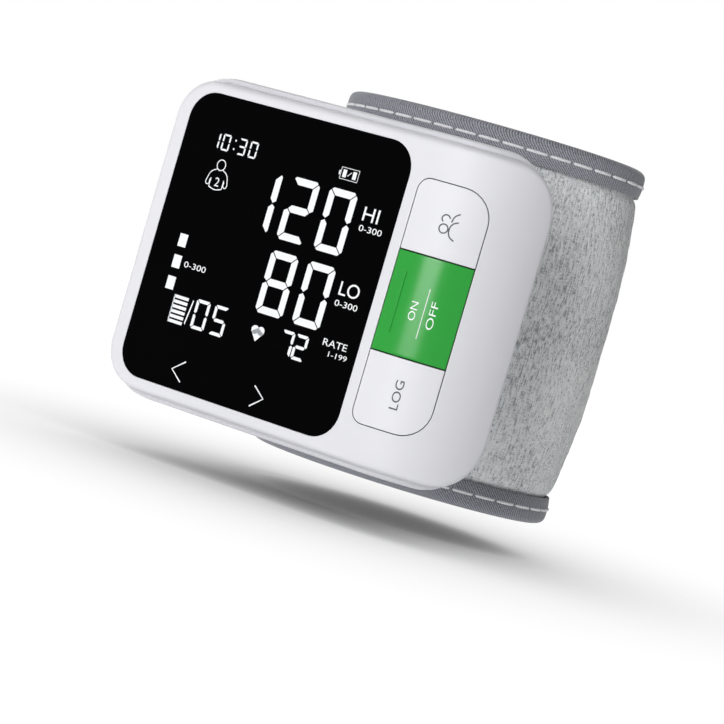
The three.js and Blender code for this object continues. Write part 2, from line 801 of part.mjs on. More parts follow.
// Lifts of the tail, which lies on the tucked end of the cuff
const hookLift = fabricBulge + clearance + hookThickness;
const tailLift = hookLift + clearance + tailThickness;

function tailFabric() {
  return tailPiece(tailLift, tailThickness, tailHeight / 2, tailStart, tailEndDegrees);
}

function tailHookTape() {
  const margin = turnFor(hookMargin, tailEndDegrees);
  return tailPiece(
    hookLift, hookThickness, tailHeight / 2 - hookMargin, cuffStartDegrees, tailEndDegrees - margin,
  );
}

// Rear housing

// Depth of the rear face: a saddle that follows the cuff, falling away past its lips
function rearDepth(x, rightEnd) {
  const reach = Math.min(Math.abs(x), saddleHalfWidth);
  const wide = loopHalfWidth + saddleLift;
  const deep = loopHalfDepth + saddleLift;
  const saddle = loopDepth - deep * Math.sqrt(1 - (reach / wide) ** 2);
  const end = x > 0 ? rightEnd : -unitLeft;
  const past = Math.max(0, Math.abs(x) - saddleHalfWidth) / (end - saddleHalfWidth);
  return saddle - rearDrop * past ** 2;
}

// Rings of the rear housing below the parting line; wall draws them in to make its inside
function rearRings(wall) {
  const partDepth = frontDepth + clearance;
  const rim = wall > 0
    ? [frontRing(partDepth - overrun, sideWall), frontRing(partDepth, sideWall)]
    : [faceRing(partDepth, rimSideInset, rimTopInset)];
  const partRight = onFace(faceLength, partDepth + rimFlareDepth, 0)[0];
  const levels = [
    {
      inset: waistDraft + wall,
      left: cuffDepth - waistLeftRise,
      right: cuffDepth - waistRightRise,
    },
    {
      inset: shoulderDraw + wall,
      left: cuffDepth - shoulderLeftRise - wall / 2,
      right: cuffDepth - shoulderRightRise - wall / 2,
    },
    { inset: rearDraw + wall / 2 },
  ];
  const lower = levels.map(({ inset, left, right }) => (
    faceOutline(inset, inset).map(([along, half]) => {
      const share = along / faceLength;
      const rightEnd = left === undefined ? rearRight : partRight;
      const x = THREE.MathUtils.lerp(unitLeft, rightEnd, share);
      const y = left === undefined
        ? rearDepth(x, rearRight) - wall
        : THREE.MathUtils.lerp(left, right, share);
      return [[x, y, half], [x, y, -half]];
    })
  ));
  return [...rim, faceRing(partDepth + rimFlareDepth, wall, wall), ...lower];
}

function pumpCradle(inside) {
  const x0 = pumpLeft - cradleWidth / 2;
  const x1 = pumpLeft + cradleWidth / 2;
  const middle = motorBottom + motorLength / 2;
  const motor = body(rodAlongZ(
    motorRadius + clearance, pumpLeft, pumpDepth, motorBottom, motorBottom + motorLength, roundSides,
  ));
  return [-1, 1].map((side) => {
    const z = middle + side * cradleSpacing / 2;
    const rib = body(box(
      x0, x1, pumpDepth + motorRadius / 2, cuffDepth,
      z - cradleThickness / 2, z + cradleThickness / 2,
    ));
    return cut(rib.intersect(inside), motor);
  });
}

function socketOpening() {
  const grow = clearance;
  return body(box(
    unitLeft - overrun, unitLeft + 2 * sideWall,
    partsDepth - grow, partsDepth + socketHeight + grow,
    -socketWidth / 2 - grow, socketWidth / 2 + grow,
  ));
}

function rearHousing() {
  const outer = body(loft(rearRings(0)));
  const cavity = body(loft(rearRings(rearWall)));
  const tongueTop = frontDepth - tongueHeight;
  const tongueFoot = frontDepth + clearance + bite;
  const tongueOutside = faceLayer(tongueTop, tongueFoot, thinnedWall + clearance);
  const tongueInside = faceLayer(
    tongueTop - overrun, tongueFoot + overrun, thinnedWall + clearance + tongueWall,
  );
  let shell = join(cut(outer, cavity), cut(tongueOutside, tongueInside));
  const posts = screwPosts().map(([x, z]) => (
    body(rodAlongY(rearPostRadius, x, z, partsDepth, cuffDepth, roundSides)).intersect(outer)
  ));
  const bosses = [-cuffScrewHeight, cuffScrewHeight].map((z) => (
    body(rodAlongY(cuffBossRadius, 0, z, cellBack + clearance, cuffDepth)).intersect(outer)
  ));
  shell = join(shell, ...posts, ...bosses, ...pumpCradle(outer));
  screwPosts().forEach(([x, z]) => {
    const bore = rodAlongY(housingScrewRadius + clearance, x, z, boardDepth, loopDepth);
    const seat = rodAlongY(housingHeadRadius + clearance, x, z, housingScrewSeat, loopDepth, roundSides);
    shell = cut(shell, body(bore), body(seat));
  });
  [-cuffScrewHeight, cuffScrewHeight].forEach((z) => {
    const bore = rodAlongY(cuffScrewRadius + screwClearance, 0, z, cellBack, loopDepth);
    shell = cut(shell, body(bore));
  });
  return cut(shell, nippleHole(nippleRadius + clearance), socketOpening());
}

// Inside the unit

function mainBoard() {
  const left = unitLeft + frontSideInset + sideWall + clearance;
  const half = unitHeight / 2 - frontTopInset - sideWall - clearance;
  const shape = roundedOutline(left, boardRight, -half, half, {
    lowLeft: boardCorner, lowRight: moduleCorner, highRight: moduleCorner, highLeft: boardCorner,
  });
  const holes = screwPosts().map(([x, z]) => (
    body(rodAlongY(housingScrewRadius + clearance, x, z, boardDepth - overrun, boardRear + overrun))
  ));
  const chip = body(box(
    chipLeft, chipLeft + chipWidth, boardRear - bite, boardRear + chipHeight,
    chipBottom, chipBottom + chipWidth,
  ));
  return join(cut(body(plateAlongY(shape, boardDepth, boardRear)), ...holes), chip);
}

function keyBoard() {
  const shape = roundedOutline(
    -keyBoardWidth / 2, keyBoardWidth / 2, -keyBoardHeight / 2, keyBoardHeight / 2,
    evenCorners(keyBoardCorner),
  );
  const holes = [-keyBoardScrewHeight, keyBoardScrewHeight].map((z) => (
    body(rodAlongY(
      smallScrewRadius + clearance, 0, z,
      keyBoardDepth - overrun, keyBoardDepth + keyBoardThickness + overrun,
    ))
  ));
  return cut(body(plateAlongY(shape, keyBoardDepth, keyBoardDepth + keyBoardThickness)), ...holes);
}

function switchBody(z) {
  const half = switchWidth / 2;
  const can = body(box(-half, half, switchTop, switchTop + switchHeight, z - half, z + half));
  const bore = rodAlongY(stemRadius + clearance, 0, z, switchTop - overrun, switchTop + stemBore);
  return cut(can, body(bore));
}

function switchStem(z) {
  return body(rodAlongY(stemRadius, 0, z, stemTop, stemTop + stemLength));
}

// Screw along Y whose head's underside is at the seat and whose tip lies before it
function screw(radius, headRadius, headHeight, x, z, tip, seat) {
  const shank = body(rodAlongY(radius, x, z, tip, seat + bite));
  const head = body(rodAlongY(headRadius, x, z, seat, seat + headHeight, roundSides));
  const drive = body(rodAlongY(
    driveRadius, x, z, seat + headHeight - driveDepth, seat + headHeight + overrun, driveSides,
  ));
  return cut(join(shank, head), drive);
}

function pumpMotor() {
  const top = motorBottom + motorLength;
  return join(
    body(rodAlongZ(motorRadius, pumpLeft, pumpDepth, motorBottom, top, roundSides)),
    body(rodAlongZ(bearingRadius, pumpLeft, pumpDepth, motorBottom - bearingHeight, motorBottom + bite)),
  );
}

function pumpHead() {
  const low = pumpHeadTop - pumpHeadHeight;
  const half = pumpHeadWidth / 2;
  const shape = roundedOutline(
    pumpLeft - half, pumpLeft + half, pumpDepth - half, pumpDepth + half, evenCorners(pumpHeadCorner),
  );
  const nozzle = body(rodAlongZ(
    nozzleRadius, pumpLeft, pumpDepth, pumpHeadTop - bite, pumpHeadTop + nozzleLength,
  ));
  return join(body(plateAlongZ(shape, low, pumpHeadTop)), nozzle);
}

function airHose() {
  const depth = manifoldDepth + manifoldSize / 2;
  const bend = (manifoldLeft - pumpLeft) / 2;
  const path = new THREE.CurvePath();
  const rise = new THREE.Vector3(pumpLeft, pumpDepth, hoseStart);
  const corner = new THREE.Vector3(pumpLeft, depth, manifoldHeight);
  const end = new THREE.Vector3(manifoldLeft - clearance, depth, manifoldHeight);
  const after = new THREE.Vector3(pumpLeft + bend, depth, manifoldHeight);
  path.add(new THREE.QuadraticBezierCurve3(rise, corner, after));
  path.add(new THREE.LineCurve3(after, end));
  const section = new THREE.Shape();
  section.absarc(0, 0, hoseRadius, 0, 2 * Math.PI);
  const geometry = new THREE.ExtrudeGeometry(section, {
    steps: hoseSteps, extrudePath: path, bevelEnabled: false, curveSegments: hoseSides,
  });
  return body(geometry);
}

function airManifold() {
  const half = manifoldSize / 2;
  return body(box(
    manifoldLeft, manifoldRight, manifoldDepth, manifoldDepth + manifoldSize,
    manifoldHeight - half, manifoldHeight + half,
  ));
}

function exhaustValve() {
  const half = valveWidth / 2;
  const under = manifoldHeight - manifoldSize / 2 - clearance;
  const can = body(box(
    valveLeft - half, valveLeft + half, partsDepth, partsDepth + valveWidth,
    valveTop - valveLength, valveTop,
  ));
  const port = body(rodAlongZ(
    nozzleRadius, valveLeft, manifoldDepth + nozzleRadius, valveTop - bite, under,
  ));
  return join(can, port);
}

function pressureSensor() {
  const half = sensorWidth / 2;
  const can = body(box(
    sensorLeft - half, sensorLeft + half, partsDepth, partsDepth + sensorHeight,
    manifoldHeight - half, manifoldHeight + half,
  ));
  const port = body(rodAlongY(
    nozzleRadius, sensorLeft, manifoldHeight,
    partsDepth + sensorHeight - bite, manifoldDepth - clearance,
  ));
  return join(can, port);
}

function airNipple() {
  const start = manifoldDepth + manifoldSize + clearance;
  const end = bladderDepth - clearance;
  const tube = body(rodAlongY(nippleRadius, nippleLeft, manifoldHeight, start, end));
  const bore = body(rodAlongY(
    nippleBore, nippleLeft, manifoldHeight, start - overrun, end + overrun,
  ));
  return cut(tube, bore);
}

function buzzer() {
  const can = body(rodAlongY(
    buzzerRadius, buzzerLeft, buzzerBottom, partsDepth, partsDepth + buzzerHeight, roundSides,
  ));
  const hole = body(rodAlongY(
    buzzerHole, buzzerLeft, buzzerBottom,
    partsDepth + buzzerHeight / 2, partsDepth + buzzerHeight + overrun,
  ));
  return cut(can, hole);
}

function batteryCell() {
  const shape = roundedOutline(
    cellLeft, cellLeft + cellWidth, cellBottom, cellBottom + cellHeight, evenCorners(cellCorner),
  );
  return body(plateAlongY(shape, cellFront, cellBack));
}

function chargingSocket() {
  const left = unitLeft + socketProud;
  const right = left + socketLength;
  const half = socketWidth / 2;
  const middle = partsDepth + socketHeight / 2;
  const can = body(box(left, right, partsDepth, partsDepth + socketHeight, -half, half));
  const mouth = body(box(
    left - overrun, right - socketFloor,
    partsDepth + socketWall, partsDepth + socketHeight - socketWall,
    -half + socketWall, half - socketWall,
  ));
  const tongue = body(box(
    left + socketFloor, right - socketFloor + bite, middle - socketTongue / 2, middle + socketTongue / 2,
    -half + socketTongueGap, half - socketTongueGap,
  ));
  return join(cut(can, mouth), tongue);
}

// Assembly

const monitor = new THREE.Group();
const onStrip = new THREE.Group();
onStrip.applyMatrix4(keyFrame);
monitor.add(onStrip);

function place(name, solid, finish, group = monitor) {
  const mesh = new THREE.Mesh(geometryOf(solid), new THREE.MeshStandardMaterial(finishes[finish]));
  mesh.name = name;
  group.add(mesh);
}

place('front_housing', frontHousing(), 'whiteShell');
place('rear_housing', rearHousing(), 'rearShell');
place(
  'display_window',
  windowPlate(windowWidth, windowHeight, windowCorner, 0, windowThickness),
  'blackGlass',
);
place(
  'display_module',
  windowPlate(
    moduleWidth, moduleHeight, moduleCorner,
    faceWall + clearance, faceWall + clearance + moduleThickness,
  ),
  'darkPlastic',
);
place('main_board', mainBoard(), 'board');
place('user_key', keyBody(keySpans.user), 'whiteKey');
place('start_key', startKeyBody(), 'greenKey');
place('memory_key', keyBody(keySpans.memory), 'whiteKey');
place('key_board', keyBoard(), 'board', onStrip);
Object.entries(keySpans).forEach(([key, span]) => {
  const middle = (span.low + span.high) / 2;
  place(`${key}_switch`, switchBody(middle), 'darkPlastic', onStrip);
  place(`${key}_switch_stem`, switchStem(middle), 'palePlastic', onStrip);
});
[keyBoardScrewHeight, -keyBoardScrewHeight].forEach((z, i) => {
  const seat = keyBoardDepth + keyBoardThickness + clearance;
  const solid = screw(
    smallScrewRadius, smallHeadRadius, smallHeadHeight, 0, z, seat - smallScrewLength, seat,
  );
  place(`key_board_screw_${i + 1}`, solid, 'steel', onStrip);
});
screwPosts().forEach(([x, z], i) => {
  const solid = screw(
    housingScrewRadius, housingHeadRadius, housingHeadHeight, x, z,
    housingScrewTip, housingScrewSeat + clearance,
  );
  place(`housing_screw_${i + 1}`, solid, 'steel');
});
place('pump_motor', pumpMotor(), 'steel');
place('pump_head', pumpHead(), 'darkPlastic');
place('air_hose', airHose(), 'silicone');
place('air_manifold', airManifold(), 'palePlastic');
place('exhaust_valve', exhaustValve(), 'steel');
place('pressure_sensor', pressureSensor(), 'darkPlastic');
place('air_nipple', airNipple(), 'palePlastic');
place('buzzer', buzzer(), 'darkPlastic');
place('battery_cell', batteryCell(), 'cell');
place('charging_socket', chargingSocket(), 'steel');
place('cuff_outer_fabric', cuffOuterFabric(), 'greyCloth');
place('cuff_former', cuffFormer(), 'former');
place('air_bladder', airBladder(), 'silicone');
place('cuff_lining', rootBand(liningSection), 'liningCloth');
place('cuff_upper_binding', rootBand(bindingSection(1)), 'bindingTape');
place('cuff_lower_binding', rootBand(bindingSection(-1)), 'bindingTape');
[cuffScrewHeight, -cuffScrewHeight].forEach((z, i) => {
  const seat = cuffDepth - formerLift + formerThickness + clearance;
  const solid = screw(
    cuffScrewRadius, cuffHeadRadius, cuffHeadHeight, 0, z, cellBack + 2 * clearance, seat,
  );
  place(`cuff_screw_${i + 1}`, solid, 'steel');
});
place('arm_outer_fabric', band(outerSection, ...armSpan), 'greyCloth');
place(
  'arm_former',
  band(
    flatSection(formerLift, formerThickness, formerHalf),
    armSpan[0] + turnFor(formerMargin / 2, cuffHingeDegrees),
    armSpan[1] - turnFor(formerMargin / 2, armEndDegrees),
  ),
  'former',
);
place('arm_lining', band(liningSection, ...armSpan), 'liningCloth');
place('arm_upper_binding', band(bindingSection(1), ...armSpan), 'bindingTape');
place('arm_lower_binding', band(bindingSection(-1), ...armSpan), 'bindingTape');
place('tail_fabric', tailFabric(), 'greyCloth');
place('tail_hook_tape', tailHookTape(), 'hookTape');

// The origin is under the middle of the whole part, on the surface that it stands on
const extent = new THREE.Box3().setFromObject(monitor);
const middle = extent.getCenter(new THREE.Vector3());
monitor.position.set(-middle.x, -middle.y, -extent.min.z);

export default monitor;
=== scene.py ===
"""Looks of a wrist blood pressure monitor: a display unit on a preformed cloth cuff.

Lengths in the classes are millimetres in the unit's own measures: along the face from its left
edge, the depth behind the face and the height over the unit's middle. They become metres of the
shared frame when a piece gets its place.
"""
import logging
import math
from bisect import bisect_left
from collections.abc import Callable, Iterable, Sequence
from dataclasses import dataclass, field, replace
from enum import Enum

import bmesh
import bpy
from mathutils import Matrix, Vector, noise


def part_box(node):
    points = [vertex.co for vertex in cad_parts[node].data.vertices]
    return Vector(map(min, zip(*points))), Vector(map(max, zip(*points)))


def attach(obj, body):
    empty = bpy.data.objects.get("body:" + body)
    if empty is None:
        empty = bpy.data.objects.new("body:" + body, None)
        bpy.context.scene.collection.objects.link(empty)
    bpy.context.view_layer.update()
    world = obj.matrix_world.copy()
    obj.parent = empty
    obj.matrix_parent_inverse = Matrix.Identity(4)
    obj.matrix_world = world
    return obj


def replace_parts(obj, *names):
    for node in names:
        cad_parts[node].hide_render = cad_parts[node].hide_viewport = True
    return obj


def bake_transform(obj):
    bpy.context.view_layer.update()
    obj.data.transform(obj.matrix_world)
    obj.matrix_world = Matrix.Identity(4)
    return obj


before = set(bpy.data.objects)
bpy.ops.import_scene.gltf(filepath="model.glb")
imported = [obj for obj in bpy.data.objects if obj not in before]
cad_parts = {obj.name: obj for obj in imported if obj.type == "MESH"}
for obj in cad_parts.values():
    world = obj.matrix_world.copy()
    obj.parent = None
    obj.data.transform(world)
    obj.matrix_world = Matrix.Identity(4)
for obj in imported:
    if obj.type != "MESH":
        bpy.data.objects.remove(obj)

MM = 0.001
log = logging.getLogger("monitor")
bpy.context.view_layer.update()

# Points of a mesh in millimetres that lie this close are one
WELD = 1e-4

Pair = tuple[float, float]
Triple = tuple[float, float, float]
Colour = tuple[float, float, float]
Place = Callable[[float, float, float], Vector]


def colour(red: int, green: int, blue: int) -> Colour:
    """Linear colour of a display colour.

    Args:
        red: Red, 0 to 255.
        green: Green, 0 to 255.
        blue: Blue, 0 to 255.

    Returns:
        The three linear values.
    """
    def linear(value: int) -> float:
        """Linear value of one channel."""
        share = value / 255
        return share / 12.92 if share <= 0.04045 else ((share + 0.055) / 1.055) ** 2.4

    return linear(red), linear(green), linear(blue)


def mix(a: float, b: float, share: float) -> float:
    """Value between a and b."""
    return a + (b - a) * share


def eased(value: float) -> float:
    """Smooth step of a value, from 0 to 1."""
    value = max(0.0, min(1.0, value))
    return value * value * (3 - 2 * value)


# Materials


class NodeSheet:
    """Nodes of one material, round its Principled shader."""

    def __init__(self, name: str) -> None:
        """Starts a material of that name.

        Args:
            name: The material's name.
        """
        self.material = bpy.data.materials.new(name)
        self.material.use_nodes = True
        self.tree = self.material.node_tree
        self.shader = self.tree.nodes["Principled BSDF"]

    def add(self, kind: str, **settings: object) -> bpy.types.Node:
        """Adds a node.

        Args:
            kind: Its type, without the prefix.
            settings: Its own properties.

        Returns:
            The node.
        """
        node = self.tree.nodes.new("ShaderNode" + kind)
        for name, value in settings.items():
            setattr(node, name, value)
        return node

    def link(self, start: bpy.types.NodeSocket, end: bpy.types.NodeSocket) -> None:
        """Joins two sockets."""
        self.tree.links.new(start, end)

    def set(self, **values: object) -> None:
        """Sets constant values on the shader's sockets, named with _ for a space."""
        for name, value in values.items():
            self.shader.inputs[name.replace("_", " ")].default_value = value

    def drive(self, name: str, pattern: bpy.types.NodeSocket) -> None:
        """Feeds a pattern into one of the shader's sockets."""
        self.link(pattern, self.shader.inputs[name])

    def coordinates(
        self, uv: bool = False, scale: Triple = (1.0, 1.0, 1.0)
    ) -> bpy.types.NodeSocket:
        """Coordinates of the pattern.

        Args:
            uv: True for the piece's own UV map, in millimetres, else the object's, in metres.
            scale: Repeats along each axis.

        Returns:
            The vector socket.
        """
        source = self.add("TexCoord")
        mapping = self.add("Mapping")
        mapping.inputs["Scale"].default_value = scale
        self.link(source.outputs["UV" if uv else "Object"], mapping.inputs["Vector"])
        return mapping.outputs["Vector"]

    def noise(
        self, vector: bpy.types.NodeSocket, scale: float, detail: float = 3.0, rough: float = 0.55
    ) -> bpy.types.NodeSocket:
        """Noise pattern.

        Args:
            vector: Its coordinates.
            scale: Its scale.
            detail: Octaves.
            rough: Weight of the finer octaves.

        Returns:
            The factor socket.
        """
        node = self.add("TexNoise")
        node.inputs["Scale"].default_value = scale
        node.inputs["Detail"].default_value = detail
        node.inputs["Roughness"].default_value = rough
        self.link(vector, node.inputs["Vector"])
        return node.outputs["Fac"]

    def ramp(
        self, factor: bpy.types.NodeSocket, stops: Iterable[tuple[float, Colour]]
    ) -> bpy.types.NodeSocket:
        """Colour ramp over a factor.

        Args:
            factor: The factor.
            stops: Place and colour of each stop.

        Returns:
            The colour socket.
        """
        node = self.add("ValToRGB")
        elements = node.color_ramp.elements
        wanted = list(stops)
        while len(elements) < len(wanted):
            elements.new(1.0)
        for element, (place, tint) in zip(elements, wanted):
            element.position = place
            element.color = (*tint, 1.0)
        self.link(factor, node.inputs["Fac"])
        return node.outputs["Color"]

    def maths(self, kind: str, a: bpy.types.NodeSocket, b: object) -> bpy.types.NodeSocket:
        """Sum of two values, or another step of arithmetic.

        Args:
            kind: The operation.
            a: First value.
            b: Second value, a socket or a number.

        Returns:
            The value socket.
        """
        node = self.add("Math", operation=kind)
        self.link(a, node.inputs[0])
        if isinstance(b, bpy.types.NodeSocket):
            self.link(b, node.inputs[1])
        else:
            node.inputs[1].default_value = b
        return node.outputs["Value"]

    def weighted(self, *shares: tuple[bpy.types.NodeSocket, float]) -> bpy.types.NodeSocket:
        """Sum of patterns, each by its weight.

        Args:
            shares: Pattern and weight of each.

        Returns:
            The value socket.
        """
        parts = [self.maths("MULTIPLY", pattern, weight) for pattern, weight in shares]
        total = parts[0]
        for part in parts[1:]:
            total = self.maths("ADD", total, part)
        return total

    def range(
        self, value: bpy.types.NodeSocket, low: float, high: float
    ) -> bpy.types.NodeSocket:
        """Spreads a 0 to 1 value between two others.

        Args:
            value: The value.
            low: Result at 0.
            high: Result at 1.

        Returns:
            The value socket.
        """
        node = self.add("MapRange")
        node.inputs["To Min"].default_value = low
        node.inputs["To Max"].default_value = high
        self.link(value, node.inputs["Value"])
        return node.outputs["Result"]

    def relief(self, height: bpy.types.NodeSocket, distance: float, strength: float = 1.0) -> None:
        """Raises the surface by a pattern.

        Args:
            height: The pattern, 0 to 1.
            distance: How high 1 stands, in millimetres.
            strength: Strength of the bump.
        """
        node = self.add("Bump")
        node.inputs["Distance"].default_value = distance * MM
        node.inputs["Strength"].default_value = strength
        self.link(height, node.inputs["Height"])
        self.link(node.outputs["Normal"], self.shader.inputs["Normal"])


class Finish:
    """A finish that makes its material once."""

    name: str
    made: dict[str, bpy.types.Material] = {}

    def dress(self, sheet: NodeSheet) -> None:
        """Builds the finish's nodes."""
        raise NotImplementedError

    def material(self) -> bpy.types.Material:
        """The finish's material, the same for every piece that has it.

        Returns:
            The material.
        """
        if self.name not in Finish.made:
            sheet = NodeSheet(self.name)
            self.dress(sheet)
            Finish.made[self.name] = sheet.material
        return Finish.made[self.name]


@dataclass(frozen=True)
class MouldedPlastic(Finish):
    """Injection moulded plastic with a fine spark-eroded grain."""

    name: str
    tint: Colour
    roughness: float = 0.4
    grain: float = 0.004
    grain_scale: float = 2600.0
    specular: float = 0.5
    coat: float = 0.0
    drift_scale: float = 35.0
    smear_scale: float = 160.0

    def dress(self, sheet: NodeSheet) -> None:
        """Colour that hardly varies, uneven gloss and fine grain.

        Args:
            sheet: The material's nodes.
        """
        vector = sheet.coordinates()
        drift = sheet.noise(vector, self.drift_scale, 3.0)
        darker = tuple(value * 0.965 for value in self.tint)
        tint = sheet.ramp(drift, [(0.3, darker), (0.7, self.tint)])
        sheet.drive("Base Color", tint)
        smear = sheet.noise(vector, self.smear_scale, 4.0)
        gloss = sheet.range(smear, self.roughness * 0.9, self.roughness * 1.12)
        sheet.drive("Roughness", gloss)
        grain = sheet.noise(vector, self.grain_scale, 2.0, 0.6)
        sheet.relief(grain, self.grain)
        sheet.set(Specular_IOR_Level=self.specular, Coat_Weight=self.coat, Coat_Roughness=0.15)


@dataclass(frozen=True)
class DisplayGlass(Finish):
    """Black printed display glass."""

    name: str
    tint: Colour
    roughness: float = 0.09
    smear_scale: float = 90.0
    specular: float = 0.015

    def dress(self, sheet: NodeSheet) -> None:
        """Near-black with faint smears in the gloss.

        Args:
            sheet: The material's nodes.
        """
        vector = sheet.coordinates()
        smear = sheet.noise(vector, self.smear_scale, 5.0)
        gloss = sheet.range(smear, self.roughness * 0.7, self.roughness * 1.5)
        sheet.drive("Roughness", gloss)
        sheet.set(Base_Color=(*self.tint, 1.0), Specular_IOR_Level=self.specular)


@dataclass(frozen=True)
class Ink(Finish):
    """Printed ink or a lit display segment."""

    name: str
    tint: Colour
    glow: float = 0.0
    roughness: float = 0.5
    speckle_scale: float = 1800.0

    def dress(self, sheet: NodeSheet) -> None:
        """Slightly uneven ink; a lit segment glows, and white print glows faintly as painted
        light.

        Args:
            sheet: The material's nodes.
        """
        vector = sheet.coordinates()
        speckle = sheet.noise(vector, self.speckle_scale, 2.0)
        thin = tuple(value * 0.94 for value in self.tint)
        tint = sheet.ramp(speckle, [(0.35, thin), (0.6, self.tint)])
        sheet.drive("Base Color", tint)
        sheet.set(Roughness=self.roughness, Specular_IOR_Level=0.2)
        if self.glow > 0:
            sheet.set(Emission_Color=(*self.tint, 1.0), Emission_Strength=self.glow)


@dataclass(frozen=True)
class Metal(Finish):
    """Plated or brushed metal."""

    name: str
    tint: Colour
    roughness: float = 0.32
    brushed: Triple = (1.0, 1.0, 12.0)
    brush_scale: float = 900.0
    relief: float = 0.004

    def dress(self, sheet: NodeSheet) -> None:
        """Fine brush lines in gloss and relief.

        Args:
            sheet: The material's nodes.
        """
        vector = sheet.coordinates(scale=self.brushed)
        lines = sheet.noise(vector, self.brush_scale, 3.0)
        dull = tuple(value * 0.82 for value in self.tint)
        tint = sheet.ramp(lines, [(0.3, dull), (0.7, self.tint)])
        sheet.drive("Base Color", tint)
        gloss = sheet.range(lines, self.roughness * 0.8, self.roughness * 1.3)
        sheet.drive("Roughness", gloss)
        sheet.relief(lines, self.relief)
        sheet.set(Metallic=1.0)


@dataclass(frozen=True)
class CircuitBoard(Finish):
    """Green solder resist over copper tracks."""

    name: str
    tint: Colour
    track: Colour
    track_scale: float = 240.0
    track_width: float = 0.035
    relief: float = 0.02

    def dress(self, sheet: NodeSheet) -> None:
        """Square tracks under the resist.

        Args:
            sheet: The material's nodes.
        """
        vector = sheet.coordinates()
        bricks = sheet.add("TexBrick", offset=0.5)
        bricks.inputs["Scale"].default_value = self.track_scale
        bricks.inputs["Mortar Size"].default_value = self.track_width
        bricks.inputs["Color1"].default_value = (*self.tint, 1.0)
        bricks.inputs["Color2"].default_value = (*(v * 0.86 for v in self.tint), 1.0)
        bricks.inputs["Mortar"].default_value = (*self.track, 1.0)
        turned = sheet.add("Mapping")
        turned.inputs["Rotation"].default_value = (math.pi / 2, 0.0, 0.0)
        sheet.link(vector, turned.inputs["Vector"])
        sheet.link(turned.outputs["Vector"], bricks.inputs["Vector"])
        sheet.drive("Base Color", bricks.outputs["Color"])
        sheet.relief(bricks.outputs["Fac"], self.relief)
        sheet.set(Roughness=0.35)


@dataclass(frozen=True)
class HeatherCloth(Finish):
    """Knitted heather cloth whose fibres run up the cuff."""

    name: str
    dark: Colour
    middle: Colour
    light: Colour
    relief: float = 0.9
    sheen: float = 0.35
    contrast: float = 3.8
    fibre_repeats: Triple = (3.8, 0.85, 1.0)
    across_repeats: Triple = (0.8, 4.8, 1.0)
    cloud_repeats: Triple = (0.11, 0.06, 1.0)
    tuft_repeats: Triple = (1.9, 0.45, 1.0)
    tint_shares: tuple[float, ...] = (0.3, 0.2, 0.38, 0.12)
    relief_shares: tuple[float, ...] = (0.25, 0.1, 0.65)

    def dress(self, sheet: NodeSheet) -> None:
        """Mottled fibres in colour and relief.

        Args:
            sheet: The material's nodes.
        """
        fibres = sheet.noise(sheet.coordinates(True, self.fibre_repeats), 1.0, 2.0, 0.6)
        across = sheet.noise(sheet.coordinates(True, self.across_repeats), 1.0, 1.0, 0.5)
        cloud = sheet.noise(sheet.coordinates(True, self.cloud_repeats), 1.0, 3.0, 0.5)
        tuft = sheet.noise(sheet.coordinates(True, self.tuft_repeats), 1.0, 3.0, 0.7)
        grain = sheet.weighted(*zip((fibres, across, tuft, cloud), self.tint_shares))
        grain = sheet.maths("MULTIPLY", sheet.maths("SUBTRACT", grain, 0.5), self.contrast)
        tint = sheet.ramp(sheet.maths("ADD", grain, 0.5),
                          [(0.15, self.dark), (0.5, self.middle), (0.85, self.light)])
        sheet.drive("Base Color", tint)
        height = sheet.weighted(*zip((fibres, across, tuft), self.relief_shares))
        sheet.relief(height, self.relief)
        sheet.set(Roughness=0.95, Sheen_Weight=self.sheen, Sheen_Roughness=0.5,
                  Specular_IOR_Level=0.15)


@dataclass(frozen=True)
class WovenTape(Finish):
    """Binding tape in a fine twill."""

    name: str
    dark: Colour
    light: Colour
    pitch: float = 0.34
    relief: float = 0.05

    def dress(self, sheet: NodeSheet) -> None:
        """Twill lines broken up by speckled yarn.

        Args:
            sheet: The material's nodes.
        """
        repeat = 1.0 / self.pitch
        twill = sheet.add("TexWave", wave_type="BANDS", bands_direction="DIAGONAL")
        twill.inputs["Scale"].default_value = repeat * 0.36
        twill.inputs["Distortion"].default_value = 1.6
        twill.inputs["Detail Scale"].default_value = 3.0
        sheet.link(sheet.coordinates(True), twill.inputs["Vector"])
        speckle = sheet.noise(sheet.coordinates(True, (repeat, repeat, 1.0)), 1.2, 2.0, 0.7)
        both = sheet.weighted((twill.outputs["Fac"], 0.3), (speckle, 0.7))
        tint = sheet.ramp(both, [(0.35, self.dark), (0.66, self.light)])
        sheet.drive("Base Color", tint)
        sheet.relief(both, self.relief)
        sheet.set(Roughness=0.85, Sheen_Weight=0.3, Sheen_Roughness=0.4, Specular_IOR_Level=0.2)


@dataclass(frozen=True)
class HookTape(Finish):
    """Hook side of touch tape."""

    name: str
    dark: Colour
    light: Colour
    hooks_per_mm: float = 1.7
    disorder: float = 0.35
    relief: float = 0.5

    def dress(self, sheet: NodeSheet) -> None:
        """Rows of small hooks.

        Args:
            sheet: The material's nodes.
        """
        cells = sheet.add("TexVoronoi", feature="F1")
        cells.inputs["Scale"].default_value = self.hooks_per_mm
        cells.inputs["Randomness"].default_value = self.disorder
        sheet.link(sheet.coordinates(True), cells.inputs["Vector"])
        tint = sheet.ramp(cells.outputs["Distance"], [(0.1, self.light), (0.55, self.dark)])
        sheet.drive("Base Color", tint)
        sheet.relief(sheet.range(cells.outputs["Distance"], 1.0, 0.0), self.relief)
        sheet.set(Roughness=0.6)


